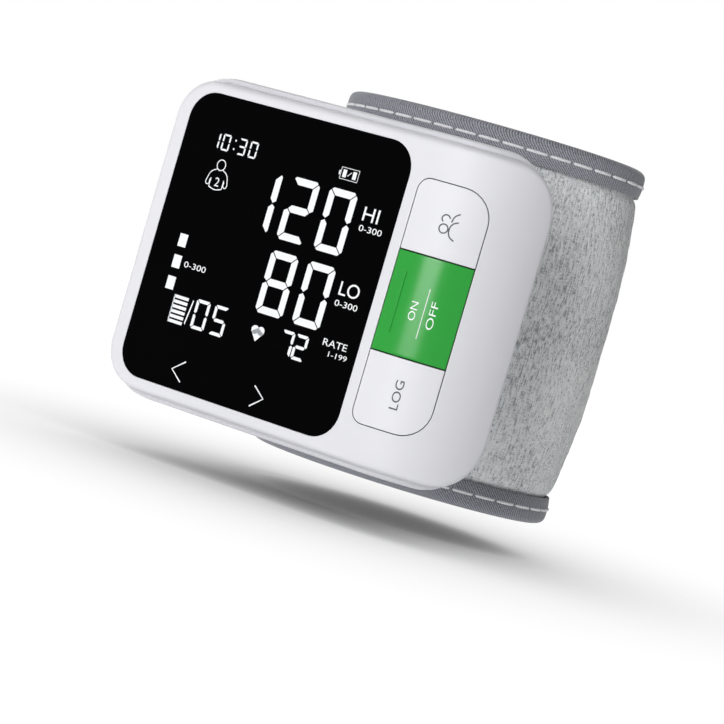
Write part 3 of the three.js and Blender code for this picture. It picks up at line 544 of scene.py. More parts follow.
@dataclass(frozen=True)
class SewingThread(Finish):
    """Twisted polyester thread."""

    name: str
    tint: Colour
    twist_scale: float = 3200.0
    relief: float = 0.03

    def dress(self, sheet: NodeSheet) -> None:
        """Twist lines across the thread.

        Args:
            sheet: The material's nodes.
        """
        vector = sheet.coordinates()
        twist = sheet.noise(vector, self.twist_scale, 2.0)
        shade = tuple(value * 0.8 for value in self.tint)
        tint = sheet.ramp(twist, [(0.35, shade), (0.6, self.tint)])
        sheet.drive("Base Color", tint)
        sheet.relief(twist, self.relief)
        sheet.set(Roughness=0.6, Sheen_Weight=0.2)


WHITE_SHELL = MouldedPlastic("white_shell", colour(224, 224, 229), 0.44, 0.003, specular=0.4)
REAR_SHELL = MouldedPlastic("rear_shell", colour(220, 220, 225), 0.48, 0.006, specular=0.4)
WHITE_KEYS = MouldedPlastic("white_keys", colour(227, 227, 232), 0.42, 0.003, specular=0.4)
GREEN_KEY = MouldedPlastic("green_key", colour(0, 154, 36), 0.2, 0.002, specular=0.5)
DARK_PLASTIC = MouldedPlastic("dark_plastic", colour(38, 39, 43), 0.55, 0.01)
PALE_PLASTIC = MouldedPlastic("pale_plastic", colour(205, 205, 198), 0.5, 0.008)
SILICONE = MouldedPlastic("silicone", colour(208, 208, 206), 0.6, 0.006, 1200.0, 0.35)
CELL_WRAP = MouldedPlastic("cell_wrap", colour(120, 132, 150), 0.3, 0.02, 500.0, 0.6)
FORMER_SHEET = MouldedPlastic("former_sheet", colour(168, 170, 176), 0.5, 0.008)
GLASS = DisplayGlass("display_glass", colour(2, 2, 3))
LIT = Ink("lit_segment", colour(232, 234, 236), 0.12)
GREY_INK = Ink("grey_ink", colour(92, 94, 100))
# The white print on the start key glows faintly: painted light that keeps it bright.
WHITE_INK = Ink("white_ink", colour(238, 244, 240), 0.02)
STEEL = Metal("steel", colour(186, 188, 192))
BOARD = CircuitBoard("board", colour(24, 92, 48), colour(52, 122, 66))
OUTER_CLOTH = HeatherCloth(
    "heather_cloth", colour(158, 161, 164), colour(236, 240, 241), colour(255, 255, 255),
)
LINING_CLOTH = HeatherCloth(
    "lining_cloth", colour(84, 85, 92), colour(108, 109, 116), colour(134, 135, 142), 0.1,
)
BINDING_TAPE = WovenTape("binding_tape", colour(98, 99, 107), colour(170, 171, 179))
TOUCH_TAPE = HookTape("hook_tape", colour(58, 59, 64), colour(104, 105, 112))
THREAD = SewingThread("white_thread", colour(240, 240, 243))


# Meshes


def place_vertices(bm: bmesh.types.BMesh, place: Place) -> None:
    """Turns the faces outwards, and moves every vertex to its place.

    Args:
        bm: The mesh, in millimetres.
        place: Place in the shared frame of a point of the mesh.
    """
    bmesh.ops.recalc_face_normals(bm, faces=bm.faces)
    for vert in bm.verts:
        vert.co = place(*vert.co)


def to_piece(
    bm: bmesh.types.BMesh,
    name: str,
    body: str | None,
    finish: Finish,
    slot: str,
    sharp: float = 38.0,
    closed: bool = True,
) -> bpy.types.Object:
    """Makes a piece of a mesh.

    Args:
        bm: The mesh, in place. It is freed.
        name: The piece's name.
        body: The body that it rides on, or None; the cuff's root pieces get theirs later, the
            arm's and the tail's none.
        finish: Its finish.
        slot: The record's material slot; not used.
        sharp: Edges that turn by more degrees than this are shaded sharp.
        closed: Whether the mesh is closed, and not a sheet that gets its thickness later.

    Returns:
        The piece.
    """
    if closed and bm.calc_volume(signed=True) < 0.0:
        bmesh.ops.reverse_faces(bm, faces=bm.faces)
    mesh = bpy.data.meshes.new(name)
    bm.to_mesh(mesh)
    bm.free()
    mesh.shade_smooth()
    mesh.set_sharp_from_angle(angle=math.radians(sharp))
    piece = bpy.data.objects.new(name, mesh)
    bpy.context.scene.collection.objects.link(piece)
    mesh.materials.append(finish.material())
    if body is not None:
        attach(piece, body)
    return piece


def bake(piece: bpy.types.Object) -> None:
    """Puts a piece's modifiers into its mesh.

    Args:
        piece: The piece.
    """
    graph = bpy.context.evaluated_depsgraph_get()
    shaped = bpy.data.meshes.new_from_object(piece.evaluated_get(graph))
    piece.modifiers.clear()
    piece.data = shaped


def even_shading(piece: bpy.types.Object) -> None:
    """Weights a piece's normals by the size of its faces, so that flats stay flat.

    Args:
        piece: The piece.
    """
    step = piece.modifiers.new("even_shading", "WEIGHTED_NORMAL")
    step.keep_sharp = True
    step.weight = 60
    bake(piece)


def mend(piece: bpy.types.Object) -> None:
    """Joins vertices that a cut left side by side and takes out its slivers.

    Args:
        piece: The piece.
    """
    bm = bmesh.new()
    bm.from_mesh(piece.data)
    bmesh.ops.remove_doubles(bm, verts=bm.verts, dist=0.003 * MM)
    bmesh.ops.dissolve_degenerate(bm, edges=bm.edges, dist=0.002 * MM)
    bm.to_mesh(piece.data)
    bm.free()


class Cut(Enum):
    """What a second body does to a piece."""

    JOIN = "UNION"
    REMOVE = "DIFFERENCE"


def carve(
    piece: bpy.types.Object, tool: bmesh.types.BMesh, operation: Cut, name: str
) -> None:
    """Joins a body to a piece or cuts it out.

    Args:
        piece: The piece.
        tool: The other body, in place. It is freed.
        operation: What the body does to the piece.
        name: Name of the step.
    """
    bmesh.ops.recalc_face_normals(tool, faces=tool.faces)
    mesh = bpy.data.meshes.new(name)
    tool.to_mesh(mesh)
    tool.free()
    other = bpy.data.objects.new(name, mesh)
    bpy.context.scene.collection.objects.link(other)
    step = piece.modifiers.new(name, "BOOLEAN")
    step.operation = operation.value
    step.solver = "EXACT"
    step.object = other
    bake(piece)
    bpy.data.objects.remove(other)


@dataclass(frozen=True)
class Outline:
    """Rectangle with a radius for each corner, flat over the face."""

    left: float
    right: float
    low: float
    high: float
    low_left: float
    low_right: float
    high_right: float
    high_left: float
    least: float = 0.05

    def grown(self, by: float, up: float | None = None) -> "Outline":
        """The outline moved outwards.

        Args:
            by: How far, or inwards if it is negative.
            up: How far at the upper and lower sides, if that differs.

        Returns:
            The new outline.
        """
        up = by if up is None else up
        radius = (by + up) / 2
        return replace(
            self, left=self.left - by, right=self.right + by, low=self.low - up,
            high=self.high + up, low_left=max(self.least, self.low_left + radius),
            low_right=max(self.least, self.low_right + radius),
            high_right=max(self.least, self.high_right + radius),
            high_left=max(self.least, self.high_left + radius),
        )

    def draw(
        self, bm: bmesh.types.BMesh, depth: float, segments: int = 8
    ) -> list[bmesh.types.BMEdge]:
        """Draws the outline as a closed row of edges.

        Args:
            bm: The mesh.
            depth: Its depth.
            segments: Edges to each corner.

        Returns:
            The edges.
        """
        spots = (
            (self.left, self.low, self.low_left), (self.right, self.low, self.low_right),
            (self.right, self.high, self.high_right), (self.left, self.high, self.high_left),
        )
        known = set(bm.faces)
        verts = [bm.verts.new((x, depth, z)) for x, z, _ in spots]
        bm.faces.new(verts)
        for vert, (_, _, radius) in zip(verts, spots):
            bmesh.ops.bevel(
                bm, geom=[vert], offset=radius, offset_type="OFFSET", segments=segments,
                profile=0.5, affect="VERTICES", material=-1,
            )
        face = next(face for face in bm.faces if face not in known)
        edges = list(face.edges)
        bmesh.ops.delete(bm, geom=[face], context="FACES_ONLY")
        return edges


def skin(bm: bmesh.types.BMesh, rows: list[list[bmesh.types.BMEdge]]) -> None:
    """Bridges each closed row of edges to the next."""
    for first, second in zip(rows, rows[1:]):
        bmesh.ops.bridge_loops(bm, edges=first + second)


def fill(bm: bmesh.types.BMesh, *rows: list[bmesh.types.BMEdge]) -> None:
    """Fills the flat between closed rows of edges; rows inside the first are its holes."""
    edges = [edge for row in rows for edge in row]
    bmesh.ops.triangle_fill(
        bm, use_beauty=True, use_dissolve=False, edges=edges, normal=(0.0, -1.0, 0.0),
    )


def rings(
    bm: bmesh.types.BMesh, outline: Outline, steps: Iterable[Pair], segments: int = 8
) -> list[list[bmesh.types.BMEdge]]:
    """Draws and bridges outlines one after another, then lowers each to its depth.

    Args:
        bm: The mesh.
        outline: The outline that the steps start from.
        steps: How far each is drawn in, and its depth.
        segments: Edges to each corner.

    Returns:
        The first and the last row of edges.
    """
    steps = list(steps)
    rows = [outline.grown(-inset).draw(bm, k, segments) for k, (inset, _) in enumerate(steps)]
    skin(bm, rows)
    for row, (_, depth) in zip(rows, steps):
        for vert in {vert for edge in row for vert in edge.verts}:
            vert.co.y = depth
    return [rows[0], rows[-1]]


def rounding(radius: float, inset: float, depth: float, steps: int = 4) -> list[Pair]:
    """Steps of a rounded edge, from the upper side over to the wall.

    Args:
        radius: Its radius.
        inset: Inset of the wall below it.
        depth: Depth of the upper side.
        steps: Facets.

    Returns:
        Inset and depth of each step.
    """
    angles = [math.pi / 2 * k / steps for k in range(steps + 1)]
    return [
        (inset + radius * (1 - math.sin(a)), depth + radius * (1 - math.cos(a))) for a in angles
    ]


def slice_along(
    bm: bmesh.types.BMesh, start: float, end: float, step: float, axis: Triple = (1.0, 0.0, 0.0)
) -> None:
    """Cuts every face across at even distances, so that the piece can bend.

    Args:
        bm: The mesh.
        start: First cut.
        end: Last cut.
        step: About how far apart they are.
        axis: Direction of the distances.
    """
    count = max(1, round((end - start) / step))
    for k in range(count + 1):
        place = mix(start, end, k / count)
        bmesh.ops.bisect_plane(
            bm, geom=[*bm.verts, *bm.edges, *bm.faces], dist=1e-6,
            plane_co=Vector(axis) * place, plane_no=axis,
        )


def rod(
    bm: bmesh.types.BMesh, radius: float, x: float, z: float, start: float, end: float,
    sides: int = 32,
) -> list[bmesh.types.BMVert]:
    """Adds a rod along the depth.

    Args:
        bm: The mesh.
        radius: Its radius.
        x: Its place across.
        z: Its height.
        start: Depth of one end.
        end: Depth of the other.
        sides: Its facets.

    Returns:
        Its vertices.
    """
    turn = Matrix.Translation((x, (start + end) / 2, z)) @ Matrix.Rotation(math.pi / 2, 4, "X")
    made = bmesh.ops.create_cone(
        bm, cap_ends=True, segments=sides, radius1=radius, radius2=radius,
        depth=end - start, matrix=turn,
    )
    return made["verts"]


# The unit's measures


@dataclass(frozen=True)
class UnitMeasures:
    """How the unit's face lies and rolls back round the wrist."""

    flat: float = 62.2
    roll: float = 20.0
    roll_degrees: float = 84.0
    height: float = 66.4
    left_corner: float = 9.5
    right_corner: float = 12.0
    window_margin: float = 4.7
    front_depth: float = 3.6
    parting: float = 3.9
    roll_step: float = 1.0
    key_middle: float = 69.15
    loop_half_width: float = 33.1
    loop_half_depth: float = 27.1
    loop_depth: float = 52.4
    cuff_rise: float = 1.4

    @property
    def length(self) -> float:
        """Length over the whole face."""
        return self.flat + self.roll * math.radians(self.roll_degrees)

    @property
    def left(self) -> float:
        """Left edge, from the unit's middle."""
        return -(self.flat + self.roll * math.sin(math.radians(self.roll_degrees))) / 2

    @property
    def origin(self) -> Vector:
        """Where the unit's middle lies in the shared frame, in millimetres."""
        low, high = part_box("display_window")
        return Vector((
            low.x / MM - self.left - self.window_margin, low.y / MM, (low.z + high.z) / 2 / MM,
        ))

    def unit(self, x: float, depth: float, height: float) -> Vector:
        """Place of a point given across, in depth and in height from the unit's middle."""
        return (ORIGIN + Vector((x, depth, height))) * MM

    def face(self, along: float, depth: float, height: float) -> Vector:
        """Place of a point given over the face, in depth below it and in height.

        Args:
            along: Distance over the face from its left edge.
            depth: Depth below the face.
            height: Height over the unit's middle.

        Returns:
            Place in the shared frame.
        """
        turned = max(0.0, along - self.flat) / self.roll
        reach = self.roll - depth
        x = self.left + min(along, self.flat) + reach * math.sin(turned)
        return self.unit(x, self.roll - reach * math.cos(turned), height)

    def slice_roll(self, bm: bmesh.types.BMesh) -> None:
        """Cuts faces over the roll across, so that they can bend."""
        slice_along(bm, self.flat, self.length, self.roll_step)

    def outline(self) -> Outline:
        """Widest outline over the face."""
        return Outline(
            0.0, self.length, -self.height / 2, self.height / 2, self.left_corner,
            self.right_corner, self.right_corner, self.left_corner,
        )


UNIT = UnitMeasures()
ORIGIN = UNIT.origin


# Display unit


@dataclass(frozen=True)
class KeyOutline:
    """Outline of the key strip over the face."""

    left: float = 61.5
    width: float = 15.3
    height: float = 47.6
    start_height: float = 19.3
    left_corner: float = 2.5
    right_corner: float = 5.8
    square: float = 0.12
    gap: float = 0.25

    def whole(self) -> Outline:
        """The whole strip."""
        return Outline(
            self.left, self.left + self.width, -self.height / 2, self.height / 2,
            self.left_corner, self.right_corner, self.right_corner, self.left_corner,
        )

    def share(
        self, low: float, high: float, round_low: bool = False, round_high: bool = False
    ) -> Outline:
        """One key's part of the strip.

        Args:
            low: Its lower edge.
            high: Its upper edge.
            round_low: Whether the strip's lower corners are its own.
            round_high: Whether the strip's upper corners are its own.

        Returns:
            The outline.
        """
        return Outline(
            self.left, self.left + self.width, low, high,
            self.left_corner if round_low else self.square,
            self.right_corner if round_low else self.square,
            self.right_corner if round_high else self.square,
            self.left_corner if round_high else self.square,
        )


@dataclass(frozen=True)
class FrontHousing:
    """Front housing: the face, its rolled end and the wall down to the parting line."""

    measures: UnitMeasures = UNIT
    strip: KeyOutline = KeyOutline()
    side_inset: float = 0.4
    top_inset: float = 1.4
    edge_round: float = 1.35
    edge_flare: float = 0.35
    wall: float = 2.1
    thinned: float = 0.8
    inner_step: float = 1.0
    lip_round: float = 0.08
    margin: float = 0.2
    window_width: float = 54.0
    window_height: float = 57.8
    window_corner: float = 5.5
    window_gap: float = 0.24
    pocket: float = 1.5
    ledge: float = 6.0
    ledge_corner: float = 1.0
    key_gap: float = 0.16
    key_flare: float = 0.45

    def window(self) -> Outline:
        """The display window's outline.

        Returns:
            The outline.
        """
        left = self.measures.window_margin
        half = self.window_height / 2
        corner = self.window_corner
        return Outline(left, left + self.window_width, -half, half, corner, corner, corner, corner)

    def opening(
        self, bm: bmesh.types.BMesh, outline: Outline, floor: float, flare: float = 0.0
    ) -> list[list[bmesh.types.BMEdge]]:
        """Wall of an opening in the face, with its edge rounded.

        Args:
            bm: The mesh.
            outline: The opening.
            floor: Depth of its lower edge.
            flare: How far its lower edge lies outside its upper one.

        Returns:
            Its row of edges in the face and the lower one.
        """
        curve = [(-i, d) for i, d in rounding(self.lip_round, 0.0, 0.0)]
        steps = [(curve[0][0] - self.margin, 0.0), *curve, (-flare, floor)]
        return rings(bm, outline, steps)

    def build(self) -> bpy.types.Object:
        """Makes the housing.

        Returns:
            The piece.
        """
        bm = bmesh.new()
        outline = self.measures.outline().grown(-self.side_inset, -self.top_inset)
        depth = self.measures.front_depth
        edge = rounding(self.edge_round, self.edge_flare, 0.0, steps=7)
        steps = [
            (edge[0][0] + self.margin, 0.0), *edge, (0.0, depth), (self.thinned, depth),
            (self.thinned, self.wall), (self.thinned + self.inner_step, self.wall),
        ]
        outer, inner = rings(bm, outline, steps, segments=12)
        pocket, ledge = self.opening(bm, self.window().grown(self.window_gap), self.pocket)
        view, corner = self.window().grown(-self.ledge), self.ledge_corner
        view = replace(
            view, low_left=corner, low_right=corner, high_right=corner, high_left=corner,
        )
        upper, lower = rings(bm, view, [(0.0, self.pocket), (0.0, self.wall)])
        fill(bm, ledge, upper)
        key_hole = self.strip.whole().grown(self.key_gap)
        keys, behind = self.opening(bm, key_hole, self.wall, self.key_flare)
        fill(bm, outer, pocket, keys)
        fill(bm, inner, lower, behind)
        bmesh.ops.remove_doubles(bm, verts=bm.verts, dist=WELD)
        self.measures.slice_roll(bm)
        place_vertices(bm, self.measures.face)
        piece = to_piece(bm, "front_shell", "unit", WHITE_SHELL, "housing_white", sharp=40.0)
        even_shading(piece)
        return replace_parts(piece, "front_housing")


@dataclass(frozen=True)
class RearHousing:
    """Rear housing: from the parting line round to the saddle that carries the cuff."""

    measures: UnitMeasures = UNIT
    wall: float = 1.8
    hollow_start: float = -0.2
    flare_depth: float = 3.0
    waist: Pair = (13.5, 20.5)
    shoulder: Pair = (19.5, 22.6)
    outer: tuple[Pair, ...] = (
        (0.2, 0.6), (0.0, 0.0), (0.3, 0.3), (1.3, 1.3), (4.6, 4.6), (8.0, 8.0),
    )
    inner: tuple[Pair, ...] = (
        (2.3, 3.3), (1.8, 1.8), (2.1, 2.1), (3.1, 3.1), (5.5, 5.5), (8.9, 8.9),
    )
    rear_inset: float = 7.0
    saddle_half: float = 14.0
    saddle_lift: float = 1.7
    drop: float = 3.6
    soften: float = 0.38
    soften_steps: int = 9
    levels: tuple[float, ...] = (
        0.25, 0.5, 0.7, 0.85, 1.0, 1.15, 1.3, 1.6, 1.8, 2.0, 2.2, 2.4,
        *(2.6 + 0.1 * k for k in range(9)), *(3.6 + 0.08 * k for k in range(10)), 4.6,
    )
    slice_start: float = 2.5
    slice_step: float = 1.6
    tongue: tuple[float, float, float, float] = (1.1, 1.8, 2.4, 4.3)
    posts: tuple[Pair, ...] = (
        (-33.045, -27.0), (-33.045, 27.0), (11.955, -27.0), (11.955, 27.0),
    )
    post: float = 3.2
    post_start: float = 10.5
    bore: float = 1.3
    seat: float = 19.0
    head: float = 2.2
    boss: float = 2.4
    boss_start: float = 19.9
    boss_bore: float = 1.05
    boss_height: float = 16.0
    nipple: Triple = (6.955, 20.0, 1.8)
    overrun: float = 1.0
    seat_overlap: float = 0.2
    bore_end: float = 40.0
    slot_gap: float = 0.3
    slot_depth: float = 6.0
    slot_round: float = 1.2

    def rear_depth(self, x: float) -> float:
        """Depth of the rear face across the unit.

        Args:
            x: Distance across from the unit's middle.

        Returns:
            The depth.
        """
        m = self.measures
        reach = min(abs(x), self.saddle_half)
        wide = m.loop_half_width + self.saddle_lift
        deep = m.loop_half_depth + self.saddle_lift
        saddle = m.loop_depth - deep * math.sqrt(1 - (reach / wide) ** 2)
        end = -m.left - self.rear_inset if x > 0 else -m.left
        past = max(0.0, abs(x) - self.saddle_half) / (end - self.saddle_half)
        return saddle - self.drop * past ** 2

    def station(self, along: float, ring: int, wall: float) -> Vector:
        """Point of one of the six rings, across and in depth from the unit's middle.

        Args:
            along: Distance from the left edge, as over the face.
            ring: The ring.
            wall: 0 for the outside, or the wall for the inside.

        Returns:
            Across and depth.
        """
        m = self.measures
        share = along / m.length
        if ring < 2:
            place = m.face(along, m.parting + self.flare_depth * ring, 0.0) / MM - ORIGIN
            return Vector((place.x, place.y))
        part = m.face(m.length, m.parting + self.flare_depth, 0.0).x / MM - ORIGIN.x
        if ring < 4:
            depths = self.waist if ring == 2 else self.shoulder
            lowered = wall / 2 if ring == 3 else 0.0
            return Vector((mix(m.left, part, share), mix(*depths, share) - lowered))
        x = mix(m.left, -m.left - self.rear_inset, share)
        return Vector((x, self.rear_depth(x) - wall))

    def softened(self, level: float) -> list[tuple[int, float]]:
        """Shares of the rings at a level, with the corners between them rounded off.

        Args:
            level: The level, 0 at the first ring and one more at each of the next.

        Returns:
            Ring and share of each ring that counts.
        """
        last = len(self.outer) - 1
        reach = max(0.0, min(self.soften, level, last - level))
        shares: dict[int, float] = {}
        count = self.soften_steps
        for k in range(count):
            spot = level + reach * (2 * k / (count - 1) - 1)
            below = max(0, min(int(spot), last - 1))
            over = spot - below
            shares[below] = shares.get(below, 0.0) + (1 - over) / count
            shares[below + 1] = shares.get(below + 1, 0.0) + over / count
        return list(shares.items())

    def body(self, insets: tuple[Pair, ...], wall: float, start: float) -> bmesh.types.BMesh:
        """Closed body through the rings.

        Args:
            insets: Insets of the six rings, at the sides and at the top.
            wall: 0 for the outside, or the wall for the inside.
            start: Level that it starts at.

        Returns:
            The mesh, in place.
        """
        def place(along: float, level: float, height: float) -> Vector:
            """Place of a point by its distance along, its level and its height.

            Args:
                along: Distance from the left edge.
                level: Its level.
                height: Its height.

            Returns:
                Place in the shared frame.
            """
            spot = Vector((0.0, 0.0))
            for ring, share in self.softened(level):
                spot += self.station(along, ring, wall) * share
            return self.measures.unit(spot.x, spot.y, height)

        bm = bmesh.new()
        rows = []
        for level in (start, *self.levels):
            side = sum(insets[ring][0] * share for ring, share in self.softened(level))
            top = sum(insets[ring][1] * share for ring, share in self.softened(level))
            rows.append(self.measures.outline().grown(-side, -top).draw(bm, level, segments=12))
        skin(bm, rows)
        fill(bm, rows[0])
        fill(bm, rows[-1])
        slice_along(
            bm, self.slice_start, self.measures.length - self.slice_start, self.slice_step,
        )
        place_vertices(bm, place)
        return bm

    def build(self) -> bpy.types.Object:
        """Makes the housing.

        Returns:
            The piece.
        """
        body = self.body(self.outer, 0.0, 0.0)
        piece = to_piece(body, "rear_shell", "unit", REAR_SHELL, "rear_housing", sharp=40.0)
        hollow = self.body(self.inner, self.wall, self.hollow_start)
        carve(piece, hollow, Cut.REMOVE, "hollow")
        mend(piece)
        self.fit_tongue(piece)
        self.fit_posts(piece)
        self.cut_slot(piece)
        piece.data.shade_smooth()
        piece.data.set_sharp_from_angle(angle=math.radians(35.0))
        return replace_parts(piece, "rear_housing")

    def fit_tongue(self, piece: bpy.types.Object) -> None:
        """Adds the rim that stands inside the front housing.

        Args:
            piece: The housing.
        """
        outer, inner, top, foot = self.tongue
        front = FrontHousing()
        outline = self.measures.outline().grown(-front.side_inset, -front.top_inset)
        bm = bmesh.new()
        steps = [(outer, foot), (outer, top), (inner, top), (inner, foot), (outer, foot)]
        rings(bm, outline, steps, segments=12)
        bmesh.ops.remove_doubles(bm, verts=bm.verts, dist=WELD)
        self.measures.slice_roll(bm)
        place_vertices(bm, self.measures.face)
        carve(piece, bm, Cut.JOIN, "tongue")

    def fit_posts(self, piece: bpy.types.Object) -> None:
        """Adds the screw posts and bosses, and cuts their bores and the air passage.

        Args:
            piece: The housing.
        """
        solid = bmesh.new()
        bores = bmesh.new()
        post_bore, boss_bore = self.post_start - self.overrun, self.boss_start - self.overrun
        for x, z in self.posts:
            rod(solid, self.post, x, z, self.post_start, self.rear_depth(x) - self.wall / 2)
            rod(bores, self.bore, x, z, post_bore, self.seat + self.seat_overlap)
            rod(bores, self.head, x, z, self.seat, self.bore_end)
        for z in (-self.boss_height, self.boss_height):
            rod(solid, self.boss, 0.0, z, self.boss_start, self.rear_depth(0.0) - self.wall / 2)
            rod(bores, self.boss_bore, 0.0, z, boss_bore, self.bore_end)
        x, z, radius = self.nipple
        rod(bores, radius, x, z, self.seat, self.bore_end)
        place_vertices(solid, self.measures.unit)
        place_vertices(bores, self.measures.unit)
        carve(piece, solid, Cut.JOIN, "posts")
        carve(piece, bores, Cut.REMOVE, "bores")

    def cut_slot(self, piece: bpy.types.Object) -> None:
        """Cuts the charging socket's opening.

        Args:
            piece: The housing.
        """
        low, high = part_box("charging_socket")
        gap = self.slot_gap * MM
        size = (self.slot_depth * MM, high.y - low.y + 2 * gap, high.z - low.z + 2 * gap, 1.0)
        middle = (low.x, (low.y + high.y) / 2, (low.z + high.z) / 2)
        slot = bmesh.new()
        bmesh.ops.create_cube(
            slot, size=1.0, matrix=Matrix.Translation(middle) @ Matrix.Diagonal(size),
        )
        edges = [e for e in slot.edges if abs((e.verts[0].co - e.verts[1].co).x) > MM]
        bmesh.ops.bevel(
            slot, geom=edges, offset=self.slot_round * MM, segments=5, profile=0.5, affect="EDGES",
            material=-1,
        )
        carve(piece, slot, Cut.REMOVE, "slot")


@dataclass(frozen=True)
class SevenSegment:
    """Digit of the display, as seven mitred segments."""

    width: float
    height: float
    stroke: float
    gap: float = 0.16

    lit = {
        "0": "abcdef", "1": "bc", "2": "abged", "3": "abgcd", "4": "fgbc", "5": "afgcd",
        "6": "afgedc", "7": "abc", "8": "abcdefg", "9": "abfgcd",
    }

    def segment(self, name: str) -> list[Pair]:
        """Corners of a segment, from the digit's lower left.

        Args:
            name: The segment's letter, a to g.

        Returns:
            Its corners in order.
        """
        w, h, t = self.width, self.height, self.stroke
        c, m, g = t * 0.5, self.height / 2, self.gap / 2
        top = [
            (c + g, h), (w - c - g, h), (w - c / 2 - g, h - c / 2), (w - t - g, h - t),
            (t + g, h - t), (c / 2 + g, h - c / 2),
        ]
        side = [
            (0.0, h - c - g), (c / 2, h - c / 2 - g), (t, h - t - g), (t, m + t / 2 + g),
            (t / 2, m + g), (0.0, m + t * 0.3 + g),
        ]
        bar = [
            (t / 2 + g, m), (t + g, m + t / 2), (w - t - g, m + t / 2), (w - t / 2 - g, m),
            (w - t - g, m - t / 2), (t + g, m - t / 2),
        ]
        shapes = {
            "a": top,
            "f": side,
            "b": [(w - x, z) for x, z in side],
            "e": [(x, h - z) for x, z in side],
            "c": [(w - x, h - z) for x, z in side],
            "d": [(x, h - z) for x, z in top],
            "g": bar,
        }
        return shapes[name]

    def draw(self, bm: bmesh.types.BMesh, digit: str, left: float, low: float) -> None:
        """Draws a digit with its lower left at a place.

        Args:
            bm: The mesh.
            digit: The digit.
            left: Its left edge.
            low: Its lower edge.
        """
        for name in self.lit[digit]:
            verts = [bm.verts.new((left + x, 0.0, low + z)) for x, z in self.segment(name)]
            bm.faces.new(verts)


LARGE_DIGIT = SevenSegment(6.7, 12.4, 1.42, 0.3)
SMALL_DIGIT = SevenSegment(3.5, 5.9, 0.66, 0.22)
PULSE_DIGIT = SevenSegment(3.1, 5.0, 0.62, 0.2)
CLOCK_DIGIT = SevenSegment(1.95, 3.3, 0.36, 0.16)


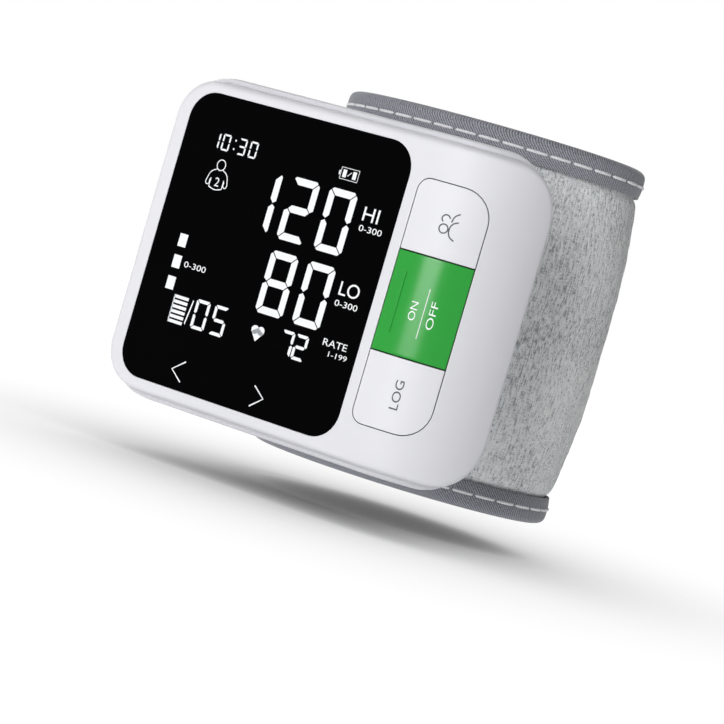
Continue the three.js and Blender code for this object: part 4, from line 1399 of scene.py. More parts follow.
class Sketch:
    """Flat shapes over the face that become thin solids."""

    bend_step: float = 0.5

    def __init__(self, thickness: float = 0.03) -> None:
        """Starts an empty sketch of that thickness."""
        self.bm = bmesh.new()
        self.thickness = thickness

    def digits(self, kind: SevenSegment, text: str, left: float, low: float, pitch: float) -> None:
        """Draws a number.

        Args:
            kind: The digits' form.
            text: The number; a blank leaves a place free.
            left: Left edge of the first place.
            low: Lower edge.
            pitch: Distance between places.
        """
        for k, digit in enumerate(text):
            if digit != " ":
                kind.draw(self.bm, digit, left + k * pitch, low)

    def disc(self, x: float, z: float, radius: float, sides: int = 20) -> None:
        """Draws a filled circle."""
        turn = Matrix.Translation((x, 0.0, z)) @ Matrix.Rotation(math.pi / 2, 4, "X")
        bmesh.ops.create_circle(self.bm, cap_ends=True, segments=sides, radius=radius, matrix=turn)

    def patch(self, *corners: Pair) -> None:
        """Draws a filled shape through a few corners."""
        self.bm.faces.new([self.bm.verts.new((x, 0.0, z)) for x, z in corners])

    def solid(self) -> None:
        """Gives the flat faces their thickness."""
        bmesh.ops.recalc_face_normals(self.bm, faces=self.bm.faces)
        made = bmesh.ops.extrude_face_region(self.bm, geom=list(self.bm.faces))
        verts = [item for item in made["geom"] if isinstance(item, bmesh.types.BMVert)]
        bmesh.ops.translate(self.bm, verts=verts, vec=(0.0, -self.thickness, 0.0))

    def stroke(
        self, points: Sequence[Pair], width: float, smooth: bool = False, closed: bool = False,
    ) -> None:
        """Draws a line, after the flat shapes have their thickness.

        Args:
            points: Points on it.
            width: Its width.
            smooth: Whether it curves through them.
            closed: Whether it closes.
        """
        curve = bpy.data.curves.new("line", "CURVE")
        curve.dimensions = "3D"
        curve.bevel_depth = width / 2
        curve.bevel_resolution = 2
        curve.use_fill_caps = True
        curve.resolution_u = 8
        spline = curve.splines.new("BEZIER" if smooth else "POLY")
        if smooth:
            spline.bezier_points.add(len(points) - 1)
            for spot, (x, z) in zip(spline.bezier_points, points):
                spot.co = (x, 0.0, z)
                spot.handle_left_type = spot.handle_right_type = "AUTO"
        else:
            spline.points.add(len(points) - 1)
            for spot, (x, z) in zip(spline.points, points):
                spot.co = (x, 0.0, z, 1.0)
        spline.use_cyclic_u = closed
        self.take(curve, Matrix.Diagonal((1.0, self.thickness / width * 1.2, 1.0, 1.0)))

    def take(self, curve: bpy.types.Curve, matrix: Matrix) -> None:
        """Adds a curve's mesh to the sketch.

        Args:
            curve: The curve.
            matrix: Where it goes.
        """
        holder = bpy.data.objects.new("sketched", curve)
        bpy.context.scene.collection.objects.link(holder)
        graph = bpy.context.evaluated_depsgraph_get()
        mesh = bpy.data.meshes.new_from_object(holder.evaluated_get(graph))
        mesh.transform(matrix)
        part = bmesh.new()
        part.from_mesh(mesh)
        bmesh.ops.remove_doubles(part, verts=part.verts, dist=1e-5)
        part.to_mesh(mesh)
        part.free()
        self.bm.from_mesh(mesh)
        bpy.data.objects.remove(holder)

    def words(
        self, text: str, left: float, right: float, low: float, high: float, upward: bool = False
    ) -> None:
        """Letters fitted into a box.

        Args:
            text: The letters.
            left: Left edge over the face.
            right: Right edge.
            low: Lower edge.
            high: Upper edge.
            upward: Whether they read from the bottom to the top.
        """
        curve = bpy.data.curves.new("letters", "FONT")
        curve.body = text
        curve.size = 1.0
        curve.resolution_u = 4
        curve.extrude = self.thickness / 2
        holder = bpy.data.objects.new("measured", curve)
        bpy.context.scene.collection.objects.link(holder)
        bpy.context.view_layer.update()
        spots = [Vector(corner) for corner in holder.bound_box]
        x0, x1 = min(s.x for s in spots), max(s.x for s in spots)
        y0, y1 = min(s.y for s in spots), max(s.y for s in spots)
        bpy.data.objects.remove(holder)
        across, up = (high - low, right - left) if upward else (right - left, high - low)
        scale = Matrix.Diagonal((across / (x1 - x0), up / (y1 - y0), 1.0, 1.0))
        to_zero = Matrix.Translation((-x0, -y0, 0.0))
        stand = Matrix.Rotation(math.pi / 2, 4, "X")
        turn = Matrix.Identity(4)
        if upward:
            turn = Matrix.Translation((up, 0.0, 0.0)) @ Matrix.Rotation(-math.pi / 2, 4, "Y")
        place = Matrix.Translation((left, 0.0, low))
        self.take(curve, place @ turn @ stand @ scale @ to_zero)

    def piece(
        self, name: str, body: str, finish: Finish, slot: str, lift: float, bend: bool = False
    ) -> bpy.types.Object:
        """Makes the piece.

        Args:
            name: Its name.
            body: The body that it rides on.
            finish: Its finish.
            slot: The record's material slot.
            lift: How far the shapes' middle lies over the face.
            bend: Whether they are cut fine enough to follow the roll.

        Returns:
            The piece.
        """
        if bend:
            spots = [vert.co.x for vert in self.bm.verts]
            slice_along(self.bm, min(spots), max(spots), self.bend_step)
        bmesh.ops.translate(self.bm, verts=self.bm.verts, vec=(0.0, -lift, 0.0))
        place_vertices(self.bm, UNIT.face)
        return to_piece(self.bm, name, body, finish, slot, sharp=30.0)


@dataclass(frozen=True)
class Display:
    """Black display window and what it shows."""

    housing: FrontHousing = FrontHousing()
    thickness: float = 1.2
    overlap: float = 0.18
    edge: float = 0.06
    margin: float = 0.3
    lift: float = 0.03
    numbers: tuple[tuple[SevenSegment, str, float, float, float], ...] = (
        (LARGE_DIGIT, "120", 19.4, 5.0, 9.1),
        (LARGE_DIGIT, " 80", 19.4, -9.7, 9.1),
        (SMALL_DIGIT, "05", 14.5, -16.6, 4.7),
        (PULSE_DIGIT, "72", 36.3, -16.3, 3.35),
        (CLOCK_DIGIT, "10", 6.9, 18.45, 2.6),
        (CLOCK_DIGIT, "30", 13.6, 18.45, 2.8),
    )
    colon: tuple[float, Pair, float] = (12.7, (19.3, 21.0), 0.2)
    bar_sides: Pair = (5.95, 7.95)
    bar_tops: tuple[float, ...] = (0.65, -3.65, -7.97)
    bar_height: float = 2.6
    heart_place: Triple = (30.6, -13.7, 1.55)
    sheet_place: Pair = (8.75, -16.7)
    bust_place: Pair = (10.9, 13.4)
    cell_place: Pair = (38.9, 19.35)
    arrows: tuple[tuple[Pair, ...], ...] = (
        ((16.05, -23.2), (13.2, -25.3), (16.0, -27.35)),
        ((33.55, -23.3), (36.3, -25.3), (33.55, -27.4)),
    )
    arrow_width: float = 0.3
    words: tuple[tuple[str, float, float, float, float], ...] = (
        ("HI", 46.6, 50.3, 12.8, 15.5), ("0-300", 46.5, 51.9, 10.75, 11.95),
        ("LO", 46.2, 50.9, -1.95, 0.75), ("0-300", 46.0, 51.4, -4.1, -2.9),
        ("RATE", 46.0, 51.7, -11.9, -10.55), ("1-199", 47.9, 52.3, -13.75, -12.7),
        ("0-300", 8.9, 14.4, -5.6, -4.4), ("2", 10.45, 11.55, 11.35, 13.1),
    )

    def at(self, x: float) -> float:
        """Distance over the face of a place measured from the window's left edge."""
        return self.housing.measures.window_margin + x

    def window(self) -> bpy.types.Object:
        """Makes the glass.

        Returns:
            The piece.
        """
        bm = bmesh.new()
        outline = self.housing.window().grown(self.overlap)
        edge = rounding(self.edge, 0.0, 0.0)
        steps = [(edge[0][0] + self.margin, 0.0), *edge, (0.0, self.thickness)]
        top, foot = rings(bm, outline, steps, segments=12)
        fill(bm, top)
        fill(bm, foot)
        place_vertices(bm, UNIT.face)
        piece = to_piece(bm, "window_glass", "unit", GLASS, "display_glass", sharp=30.0)
        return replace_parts(piece, "display_window")

    def readings(self) -> bpy.types.Object:
        """Makes the lit numbers and signs.

        Returns:
            The piece.
        """
        s = Sketch()
        for form, text, left, low, pitch in self.numbers:
            s.digits(form, text, self.at(left), low, pitch)
        across, heights, radius = self.colon
        for z in heights:
            s.disc(self.at(across), z, radius, sides=10)
        left, right = (self.at(x) for x in self.bar_sides)
        for top in self.bar_tops:
            foot = top - self.bar_height
            s.patch((left, top), (right, top), (right, foot), (left, foot))
        x, z, half = self.heart_place
        self.heart(s, self.at(x), z, half)
        x, z = self.sheet_place
        self.sheet(s, self.at(x), z)
        s.solid()
        x, z = self.bust_place
        self.bust(s, self.at(x), z)
        x, z = self.cell_place
        self.cell(s, self.at(x), z)
        for points in self.arrows:
            s.stroke([(self.at(x), z) for x, z in points], self.arrow_width)
        for text, left, right, low, high in self.words:
            s.words(text, self.at(left), self.at(right), low, high)
        return s.piece("lit_readings", "unit", LIT, "display_glass", self.lift)

    @staticmethod
    def heart(s: Sketch, x: float, z: float, half: float) -> None:
        """Draws a heart of two discs and a kite.

        Args:
            s: The sketch.
            x: Its middle over the face.
            z: Its middle's height.
            half: Half its width.
        """
        lobe = half * 0.56
        spread = half * 0.46
        for side in (-1, 1):
            s.disc(x + side * spread, z + half * 0.42, lobe)
        s.patch(
            (x - half * 0.93, z + half * 0.16), (x, z - half), (x + half * 0.93, z + half * 0.16),
            (x, z + half * 0.75),
        )

    @staticmethod
    def sheet(s: Sketch, x: float, z: float) -> None:
        """Draws a list with ruled lines.

        Args:
            s: The sketch.
            x: Its left edge over the face.
            z: Its lower edge.
        """
        for k in range(6):
            low = z + 0.98 * k
            s.patch((x, low), (x + 3.7, low), (x + 3.7, low + 0.62), (x, low + 0.62))
        s.patch((x, z), (x + 0.25, z), (x + 0.25, z + 5.5), (x, z + 5.5))
        s.patch((x + 4.15, z + 0.7), (x + 4.4, z + 0.3), (x + 5.05, z + 5.3), (x + 4.8, z + 5.4))

    @staticmethod
    def bust(s: Sketch, x: float, z: float) -> None:
        """Draws the outline of a head and shoulders.

        Args:
            s: The sketch.
            x: Its middle over the face.
            z: Its middle's height.
        """
        s.stroke([
            (x + 1.02 * math.cos(a), z + 2.2 + 1.05 * math.sin(a))
            for a in (math.pi * k / 6 for k in range(12))
        ], 0.2, smooth=True, closed=True)
        for side in (-1, 1):
            s.stroke([
                (x + side * dx, z + dz) for dx, dz in (
                    (0.75, 1.3), (1.9, 0.6), (2.45, -0.6), (2.5, -1.9), (1.95, -1.95),
                    (1.75, -0.9),
                )
            ], 0.2, smooth=True)
            s.stroke([(x + side * 1.6, z - 0.6), (x + side * 1.62, z - 2.4)], 0.2)
        s.stroke([(x - 1.62, z - 2.4), (x, z - 2.75), (x + 1.62, z - 2.4)], 0.2, smooth=True)

    @staticmethod
    def cell(s: Sketch, x: float, z: float) -> None:
        """Draws a battery with a spark in it.

        Args:
            s: The sketch.
            x: Its left edge over the face.
            z: Its lower edge.
        """
        case = [(x, z), (x + 4.2, z), (x + 4.2, z + 2.25), (x, z + 2.25)]
        s.stroke(case, 0.16, closed=True)
        s.stroke([(x - 0.28, z + 0.7), (x - 0.28, z + 1.55)], 0.3)
        s.stroke([(x + 0.5, z + 1.12), (x + 1.35, z + 1.12)], 1.5)
        s.stroke([(x + 2.85, z + 1.12), (x + 3.7, z + 1.12)], 1.5)
        s.stroke([(x + 1.7, z + 0.75), (x + 2.25, z + 1.2), (x + 1.95, z + 1.1),
                  (x + 2.5, z + 1.55)], 0.2)


@dataclass(frozen=True)
class KeyCap:
    """One key of the strip: cap, lip under the housing and post to its switch."""

    name: str
    node: str
    body: str
    finish: Finish
    slot: str
    outline: Outline
    lip_start: float = 2.5
    lip_end: float = 3.5
    edge: float = 0.13
    margin: float = 0.3
    slice_margin: float = 0.2
    slice_step: float = 0.9
    post: float = 1.5
    post_end: float = 6.5
    post_sunk: float = 0.3

    def build(self) -> bpy.types.Object:
        """Makes the key.

        Returns:
            The piece.
        """
        bm = bmesh.new()
        edge = rounding(self.edge, 0.0, 0.0)
        steps = [
            (edge[0][0] + self.margin, 0.0), *edge, (0.0, self.lip_start), (0.0, self.lip_end),
        ]
        top, foot = rings(bm, self.outline, steps)
        fill(bm, top)
        fill(bm, foot)
        left, right = self.outline.left + self.slice_margin, self.outline.right - self.slice_margin
        slice_along(bm, left, right, self.slice_step)
        place_vertices(bm, UNIT.face)
        bmesh.ops.recalc_face_normals(bm, faces=bm.faces)
        middle = (self.outline.low + self.outline.high) / 2
        turned = (UNIT.key_middle - UNIT.flat) / UNIT.roll
        verts = rod(bm, self.post, 0.0, 0.0, self.lip_end - self.post_sunk, self.post_end)
        turn = Matrix.Rotation(turned, 4, "Z")
        place = Matrix.Translation(UNIT.face(UNIT.key_middle, 0.0, middle))
        bmesh.ops.transform(bm, verts=verts, matrix=place @ Matrix.Scale(MM, 4) @ turn)
        piece = to_piece(bm, self.name, self.body, self.finish, self.slot, sharp=40.0)
        even_shading(piece)
        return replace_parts(piece, self.node)


@dataclass(frozen=True)
class KeyStrip:
    """The three keys flush in the roll, with their prints."""

    strip: KeyOutline = KeyOutline()
    line_along: float = 64.25
    line_half: float = 5.85
    line_width: float = 0.5
    line_rise: float = 0.2
    ink_lift: float = 0.02
    ink_width: float = 0.26
    on_box: tuple[float, float, float, float] = (67.1, 68.5, -2.6, 1.0)
    off_box: tuple[float, float, float, float] = (70.85, 72.25, -3.4, 1.9)
    divider: tuple[Pair, Pair] = ((69.85, -5.6), (69.85, 4.0))
    divider_width: float = 0.16
    log_box: tuple[float, float, float, float] = (68.55, 70.25, -19.5, -13.9)
    head: Triple = (68.95, 15.5, 0.85)
    shoulders: tuple[Pair, ...] = (
        (71.45, 13.7), (70.45, 14.3), (70.05, 15.5), (70.45, 16.7), (71.45, 17.3),
    )
    second_head: tuple[Pair, ...] = (
        (68.5, 16.75), (68.15, 17.3), (68.5, 18.0), (69.2, 18.1), (69.75, 17.6),
    )
    second_shoulders: tuple[Pair, ...] = ((70.1, 17.0), (70.5, 18.2), (71.35, 18.9))

    def keys(self) -> list[KeyCap]:
        """The caps from the top down.

        Returns:
            The caps, not built yet.
        """
        half, start = self.strip.height / 2, self.strip.start_height / 2
        gap = self.strip.gap
        share = self.strip.share
        return [
            KeyCap("user_key_cap", "user_key", "user_key_body", WHITE_KEYS, "key_white",
                   share(start + gap, half, round_high=True)),
            KeyCap("start_key_cap", "start_key", "start_key_body", GREEN_KEY, "key_green",
                   share(-start, start)),
            KeyCap("memory_key_cap", "memory_key", "memory_key_body", WHITE_KEYS, "key_white",
                   share(-half, -start - gap, round_low=True)),
        ]

    def touch_line(self) -> bpy.types.Object:
        """Raised line on the start key, felt with a finger.

        Returns:
            The piece.
        """
        s = Sketch(self.line_rise * 2)
        s.stroke([(self.line_along, -self.line_half), (self.line_along, self.line_half)],
                 self.line_width)
        return s.piece("touch_line", "start_key_body", GREEN_KEY, "key_green", 0.0)

    def prints(self) -> list[bpy.types.Object]:
        """Signs and words on the keys.

        Returns:
            The pieces.
        """
        start = Sketch()
        start.words("ON", *self.on_box, upward=True)
        start.words("OFF", *self.off_box, upward=True)
        start.stroke(self.divider, self.divider_width)
        start_print = start.piece(
            "start_print", "start_key_body", WHITE_INK, "key_green", self.ink_lift, bend=True,
        )
        memory = Sketch()
        memory.words("LOG", *self.log_box, upward=True)
        memory_print = memory.piece(
            "memory_print", "memory_key_body", GREY_INK, "key_white", self.ink_lift, bend=True,
        )
        user = Sketch()
        x, z, radius = self.head
        ring = [(x + radius * math.cos(a), z + radius * math.sin(a))
                for a in (math.pi * k / 6 for k in range(12))]
        user.stroke(ring, self.ink_width, smooth=True, closed=True)
        for line in (self.shoulders, self.second_head, self.second_shoulders):
            user.stroke(line, self.ink_width, smooth=True)
        user_print = user.piece(
            "user_print", "user_key_body", GREY_INK, "key_white", self.ink_lift, bend=True,
        )
        return [start_print, memory_print, user_print]


# Cuff

# Where its stretches start and end round the oval, in degrees
CUFF_START = 153.5
ARM_START = 408.0
ARM_END = 510.0


@dataclass
class LoopPath:
    """The cuff's oval, measured in degrees and in length round it."""

    measures: UnitMeasures
    step: float = 0.5
    tuck_depth: float = 2.6
    tuck_start: float = CUFF_START
    tuck_end: float = 240.0
    lengths: list[float] = field(default_factory=lambda: [0.0])

    def __post_init__(self) -> None:
        """Measures the oval from 0 to 720 degrees."""
        spots = [self.spot(k * self.step) for k in range(int(720 / self.step) + 1)]
        for a, b in zip(spots, spots[1:]):
            self.lengths.append(self.lengths[-1] + (b - a).length)

    def spot(self, degrees: float) -> Vector:
        """Point of the oval, across and in depth.

        Args:
            degrees: Its angle.

        Returns:
            The point.
        """
        m = self.measures
        t = math.radians(degrees)
        return Vector((
            m.loop_half_width * math.cos(t), m.loop_depth + m.loop_half_depth * math.sin(t),
        ))

    def length(self, degrees: float) -> float:
        """Length round the oval up to an angle.

        Args:
            degrees: The angle.

        Returns:
            The length.
        """
        k = degrees / self.step
        low = min(int(k), len(self.lengths) - 2)
        return mix(self.lengths[low], self.lengths[low + 1], k - low)

    def degrees(self, length: float) -> float:
        """Angle at a length round the oval.

        Args:
            length: The length.

        Returns:
            The angle in degrees.
        """
        high = max(1, min(bisect_left(self.lengths, length), len(self.lengths) - 1))
        low = high - 1
        share = (length - self.lengths[low]) / (self.lengths[high] - self.lengths[low])
        return (low + share) * self.step

    def tuck(self, degrees: float) -> float:
        """Lift of the cuff's end, which lies inside the oval."""
        share = (self.tuck_end - degrees) / (self.tuck_end - self.tuck_start)
        return -self.tuck_depth * eased(share)

    def place(self, length: float, lift: float, height: float) -> Vector:
        """Place of a point by its length round the oval, its lift outwards and its height.

        Args:
            length: Length round the oval.
            lift: Distance out from it.
            height: Height over the cuff's middle.

        Returns:
            Place in the shared frame.
        """
        t = math.radians(self.degrees(length))
        m = self.measures
        normal = Vector((
            m.loop_half_depth * math.cos(t), m.loop_half_width * math.sin(t),
        )).normalized()
        spot = self.spot(math.degrees(t)) + normal * lift
        return m.unit(spot.x, spot.y, m.cuff_rise + height)


LOOP = LoopPath(UNIT)


class Part(Enum):
    """Stretches of the cuff, each made as pieces of their own."""

    ROOT = "cuff"
    ARM = "arm"


@dataclass(frozen=True)
class Stretch:
    """A stretch of the cuff: where it runs and what carries it."""

    part: Part
    start: float
    end: float
    bend_start: Pair = (17.6, 79.5)
    bend_end: Pair = (-1.4, 79.5)

    def carry(self, piece: bpy.types.Object) -> None:
        """Lets a piece ride on the unit, or, on the arm, puts its place into its mesh.

        Args:
            piece: The piece.
        """
        if self.part is Part.ROOT:
            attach(piece, "unit")
        else:
            start = UNIT.unit(*self.bend_start, 0.0)
            end = UNIT.unit(*self.bend_end, 0.0)
            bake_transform(piece)

    def lift(self, length: float) -> float:
        """Tuck of the stretch at a length."""
        return LOOP.tuck(LOOP.degrees(length)) if self.part is Part.ROOT else 0.0


ROOT = Stretch(Part.ROOT, CUFF_START, ARM_START)
ARM = Stretch(Part.ARM, ARM_START, ARM_END)


class Rim(Enum):
    """Edges of the cuff, by the sign of their height."""

    UPPER = 1
    LOWER = -1

    @property
    def word(self) -> str:
        """The edge's word in the names of pieces."""
        return self.name.lower()


def map_cloth(
    bm: bmesh.types.BMesh, across: Triple = (1.0, 0.0, 0.0), up: Triple = (0.0, 0.0, 1.0)
) -> None:
    """Gives a cloth its UV map, in millimetres.

    Args:
        bm: The mesh.
        across: Direction that the map's first axis measures.
        up: Direction that its second axis measures.
    """
    layer = bm.loops.layers.uv.new("cloth")
    for face in bm.faces:
        for loop in face.loops:
            loop[layer].uv = (loop.vert.co.dot(across), loop.vert.co.dot(up))


def cloth_grid(stretch: Stretch, half: float, across: float, up: float) -> bmesh.types.BMesh:
    """Flat grid of cloth: its length round the cuff, lift and height, with its UV map.

    Args:
        stretch: Where it runs.
        half: Half its height.
        across: About how long its cells are.
        up: About how high they are.

    Returns:
        The mesh.
    """
    bm = bmesh.new()
    start, end = LOOP.length(stretch.start), LOOP.length(stretch.end)
    columns = max(2, round((end - start) / across))
    rows = max(2, round(2 * half / up))
    turn = Matrix.Translation(((start + end) / 2, 0.0, 0.0)) @ Matrix.Rotation(
        math.pi / 2, 4, "X") @ Matrix.Diagonal(((end - start) / 2, half, 1.0, 1.0))
    bmesh.ops.create_grid(bm, x_segments=columns, y_segments=rows, size=1.0, matrix=turn)
    map_cloth(bm)
    return bm


def sweep(bm: bmesh.types.BMesh, line: Iterable[Triple], step: Triple, count: int) -> None:
    """Draws a line and sweeps it along in even steps.

    Args:
        bm: The mesh.
        line: Points of the line.
        step: How far each step goes.
        count: Steps.
    """
    verts = [bm.verts.new(spot) for spot in line]
    edges = [bm.edges.new(pair) for pair in zip(verts, verts[1:])]
    for _ in range(count):
        made = bmesh.ops.extrude_edge_only(bm, edges=edges)["geom"]
        moved = [item for item in made if isinstance(item, bmesh.types.BMVert)]
        edges = [item for item in made if isinstance(item, bmesh.types.BMEdge)]
        bmesh.ops.translate(bm, verts=moved, vec=step)


def thicken(bm: bmesh.types.BMesh, thickness: float) -> None:
    """Gives a sheet its thickness towards the wrist.

    Args:
        bm: The mesh, over the oval.
        thickness: The thickness.
    """
    made = bmesh.ops.extrude_face_region(bm, geom=list(bm.faces))
    verts = [item for item in made["geom"] if isinstance(item, bmesh.types.BMVert)]
    bmesh.ops.translate(bm, verts=verts, vec=(0.0, -thickness, 0.0))


@dataclass(frozen=True)
class ClothLayer:
    """Cloth between the bindings, swelling off the edges that hold it."""

    name: str
    finish: Finish
    slot: str
    half: float
    edge_lift: float
    middle_lift: float
    held: float = 31.3
    swell: float = 24.0
    tucked: float = 0.7
    thickness: float = 0.8
    folds: float = 0.2
    felt: float = 0.17
    cell: float = 0.65
    seed: float = 3.7
    wide_fold: Pair = (0.11, 0.035)
    fine_fold: Pair = (0.42, 0.075)
    pucker: float = 0.55
    pucker_reach: float = 5.0
    felt_grain: Pair = (0.7, 0.24)
    open_reach: float = 2.0

    def lift(self, length: float, height: float) -> float:
        """Lift of the cloth's outer side, with its soft folds.

        Args:
            length: Length round the cuff.
            height: Height over the cuff's middle.

        Returns:
            The lift off the oval.
        """
        inside = self.held - abs(height)
        rise = max(0.0, min(1.0, inside / self.swell))
        swelling = math.sin(rise * math.pi / 2)
        lift = mix(self.edge_lift, self.middle_lift, swelling)
        lift -= self.tucked * (1.0 - eased(inside))
        across, up = self.wide_fold
        wide = noise.noise(Vector((length * across, height * up, self.seed)))
        across, up = self.fine_fold
        fine = noise.noise(Vector((length * across, height * up, self.seed + 9.0)))
        puckers = noise.noise(Vector((length * self.pucker, self.seed + 20.0, 0.3)))
        near_edge = math.exp(-(inside / self.pucker_reach) ** 2)
        across, up = self.felt_grain
        felt = noise.fractal(
            Vector((length * across, height * up, self.seed + 40.0)), 0.6, 2.1, 3,
        )
        open_cloth = eased(inside / self.open_reach)
        return lift + self.felt * felt * open_cloth + self.folds * (
            swelling * (wide * 0.9 + fine * 0.6) + 0.9 * puckers * near_edge * open_cloth
        )

    def build(self, stretch: Stretch, *nodes: str) -> bpy.types.Object:
        """Makes the layer's piece for one stretch.

        Args:
            stretch: The stretch.
            nodes: The nodes that it stands for.

        Returns:
            The piece.
        """
        bm = cloth_grid(stretch, self.half, self.cell, self.cell * 1.15)
        for vert in bm.verts:
            vert.co.y = self.lift(vert.co.x, vert.co.z) + stretch.lift(vert.co.x)
        thicken(bm, self.thickness)
        place_vertices(bm, LOOP.place)
        name = f"{stretch.part.value}_{self.name}"
        piece = to_piece(bm, name, None, self.finish, self.slot, sharp=60.0)
        stretch.carry(piece)
        wide = (LOOP.length(stretch.end) - LOOP.length(stretch.start)) * MM
        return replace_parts(piece, *nodes)


@dataclass(frozen=True)
class Binding:
    """Tape folded over an edge of the cuff, sewn through with white thread."""

    half: float = 37.2
    rise: float = 0.35
    tape: float = 0.7
    depth: float = 5.6
    inner_depth: float = 5.0
    inner_lift: float = -3.2
    seam: float = 3.2
    groove: float = 0.16
    foot_drop: float = 0.32
    rise_drop: float = 0.06
    before_seam: float = 0.8
    seam_edge: float = 0.35
    after_seam: float = 0.4
    fold_steps: int = 12
    fold_square: float = 0.7
    fold_flat: float = 0.9
    pitch: float = 4.9
    dash: float = 4.35
    thread: float = 0.3
    lead: float = 0.1
    thread_half: float = 0.24
    thread_dip: float = 0.3
    thread_over: float = 0.06
    thread_under: float = 0.02
    blunt: float = 0.35
    step: float = 1.2
    wave: float = 0.05
    soft_edge: float = 0.16
    end_half: float = 36.2
    end_rise: float = 0.35
    end_tape: float = 0.5
    end_turn: float = 1.6
    end_middle: float = 3.4
    end_round: float = 1.1
    end_past: float = 0.3

    def section(self) -> list[Pair]:
        """Middle line of the folded tape.

        Returns:
            Lift and distance in from the cuff's edge of each point.
        """
        outer = self.rise - self.tape / 2
        inner = self.inner_lift - self.tape / 2
        middle, radius = (outer + inner) / 2, (outer - inner) / 2
        points = [
            (outer - self.foot_drop, self.depth),
            (outer - self.rise_drop, self.seam + self.before_seam),
            (outer, self.seam + self.seam_edge), (outer - self.groove, self.seam),
            (outer, self.seam - self.after_seam),
        ]
        for k in range(self.fold_steps + 1):
            turn = math.pi * k / self.fold_steps
            reach = self.tape / 2 + radius * (1 - math.sin(turn) ** self.fold_square)
            across = math.copysign(abs(math.cos(turn)) ** self.fold_flat, math.cos(turn))
            points.append((middle + radius * across, reach))
        points += [
            (inner + self.groove, self.seam), (inner, self.seam + self.before_seam),
            (inner, self.inner_depth),
        ]
        return points

    def tape_of(self, bm: bmesh.types.BMesh, name: str, thickness: float) -> bpy.types.Object:
        """Makes tape of a sheet, with half of its thickness to each side.

        Args:
            bm: The sheet, over the oval. It is freed.
            name: The piece's name.
            thickness: The tape's thickness.

        Returns:
            The piece.
        """
        place_vertices(bm, LOOP.place)
        bmesh.ops.recalc_face_normals(bm, faces=bm.faces)
        piece = to_piece(
            bm, name, None, BINDING_TAPE, "binding_fabric", sharp=70.0, closed=False,
        )
        shell = piece.modifiers.new("thickness", "SOLIDIFY")
        shell.thickness = thickness * MM
        shell.offset = 0.0
        bake(piece)
        return piece

    def tape_piece(self, stretch: Stretch, side: Rim, node: str) -> bpy.types.Object:
        """Makes the folded tape on one edge.

        Args:
            stretch: The stretch.
            side: The edge.
            node: The node that it stands for.

        Returns:
            The piece.
        """
        bm = bmesh.new()
        section = self.section()
        start, end = LOOP.length(stretch.start), LOOP.length(stretch.end)
        line = [(start, lift, side.value * (self.half - reach)) for lift, reach in section]
        count = round((end - start) / self.step)
        sweep(bm, line, ((end - start) / count, 0.0, 0.0), count)
        map_cloth(bm, up=(0.0, 1.0, 1.0))
        for vert in bm.verts:
            wave = noise.noise(Vector((vert.co.x * 0.35, vert.co.z * 0.2, 5.0)))
            vert.co.y += stretch.lift(vert.co.x) + self.wave * wave
        piece = self.tape_of(bm, f"{stretch.part.value}_{side.word}_tape", self.tape * 0.98)
        soft = piece.modifiers.new("soft_edges", "BEVEL")
        soft.width = self.soft_edge * MM
        soft.segments = 2
        soft.limit_method = "ANGLE"
        soft.angle_limit = math.radians(60.0)
        bake(piece)
        piece.data.shade_smooth()
        stretch.carry(piece)
        around = sum(math.dist(a, b) for a, b in zip(section, section[1:]))
        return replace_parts(piece, node)

    def end_piece(
        self, stretch: Stretch, at_start: bool, outer: ClothLayer, inner: ClothLayer
    ) -> bpy.types.Object:
        """Makes the tape folded over the end of a stretch.

        Args:
            stretch: The stretch.
            at_start: Whether it closes the start or the end.
            outer: The cloth outside.
            inner: The lining.

        Returns:
            The piece.
        """
        bm = bmesh.new()
        edge = LOOP.length(stretch.start if at_start else stretch.end)
        inwards = 1.0 if at_start else -1.0
        section = [(0.0, self.depth), (0.0, self.end_middle), (0.0, self.end_turn)]
        for k in range(9):
            turn = math.pi * k / 8
            reach = self.end_round * (1 - math.sin(turn) ** self.fold_square) - self.end_past
            section.append(((1 - math.cos(turn)) / 2, reach))
        section += [(1.0, self.end_turn), (1.0, self.end_middle), (1.0, self.inner_depth)]
        line = [(edge + inwards * reach, share, -self.end_half) for share, reach in section]
        count = round(2 * self.end_half)
        sweep(bm, line, (0.0, 0.0, 2 * self.end_half / count), count)
        for vert in bm.verts:
            top = outer.lift(vert.co.x, vert.co.z) + self.end_rise - self.end_tape / 2
            bottom = inner.lift(vert.co.x, vert.co.z) - inner.thickness - self.end_tape / 2
            vert.co.y = mix(top, bottom, vert.co.y) + stretch.lift(vert.co.x)
        map_cloth(bm, (0.0, 0.0, 1.0), (1.0, 1.0, 0.0))
        piece = self.tape_of(bm, f"{stretch.part.value}_end_tape", self.end_tape)
        piece.data.shade_smooth()
        stretch.carry(piece)
        return piece

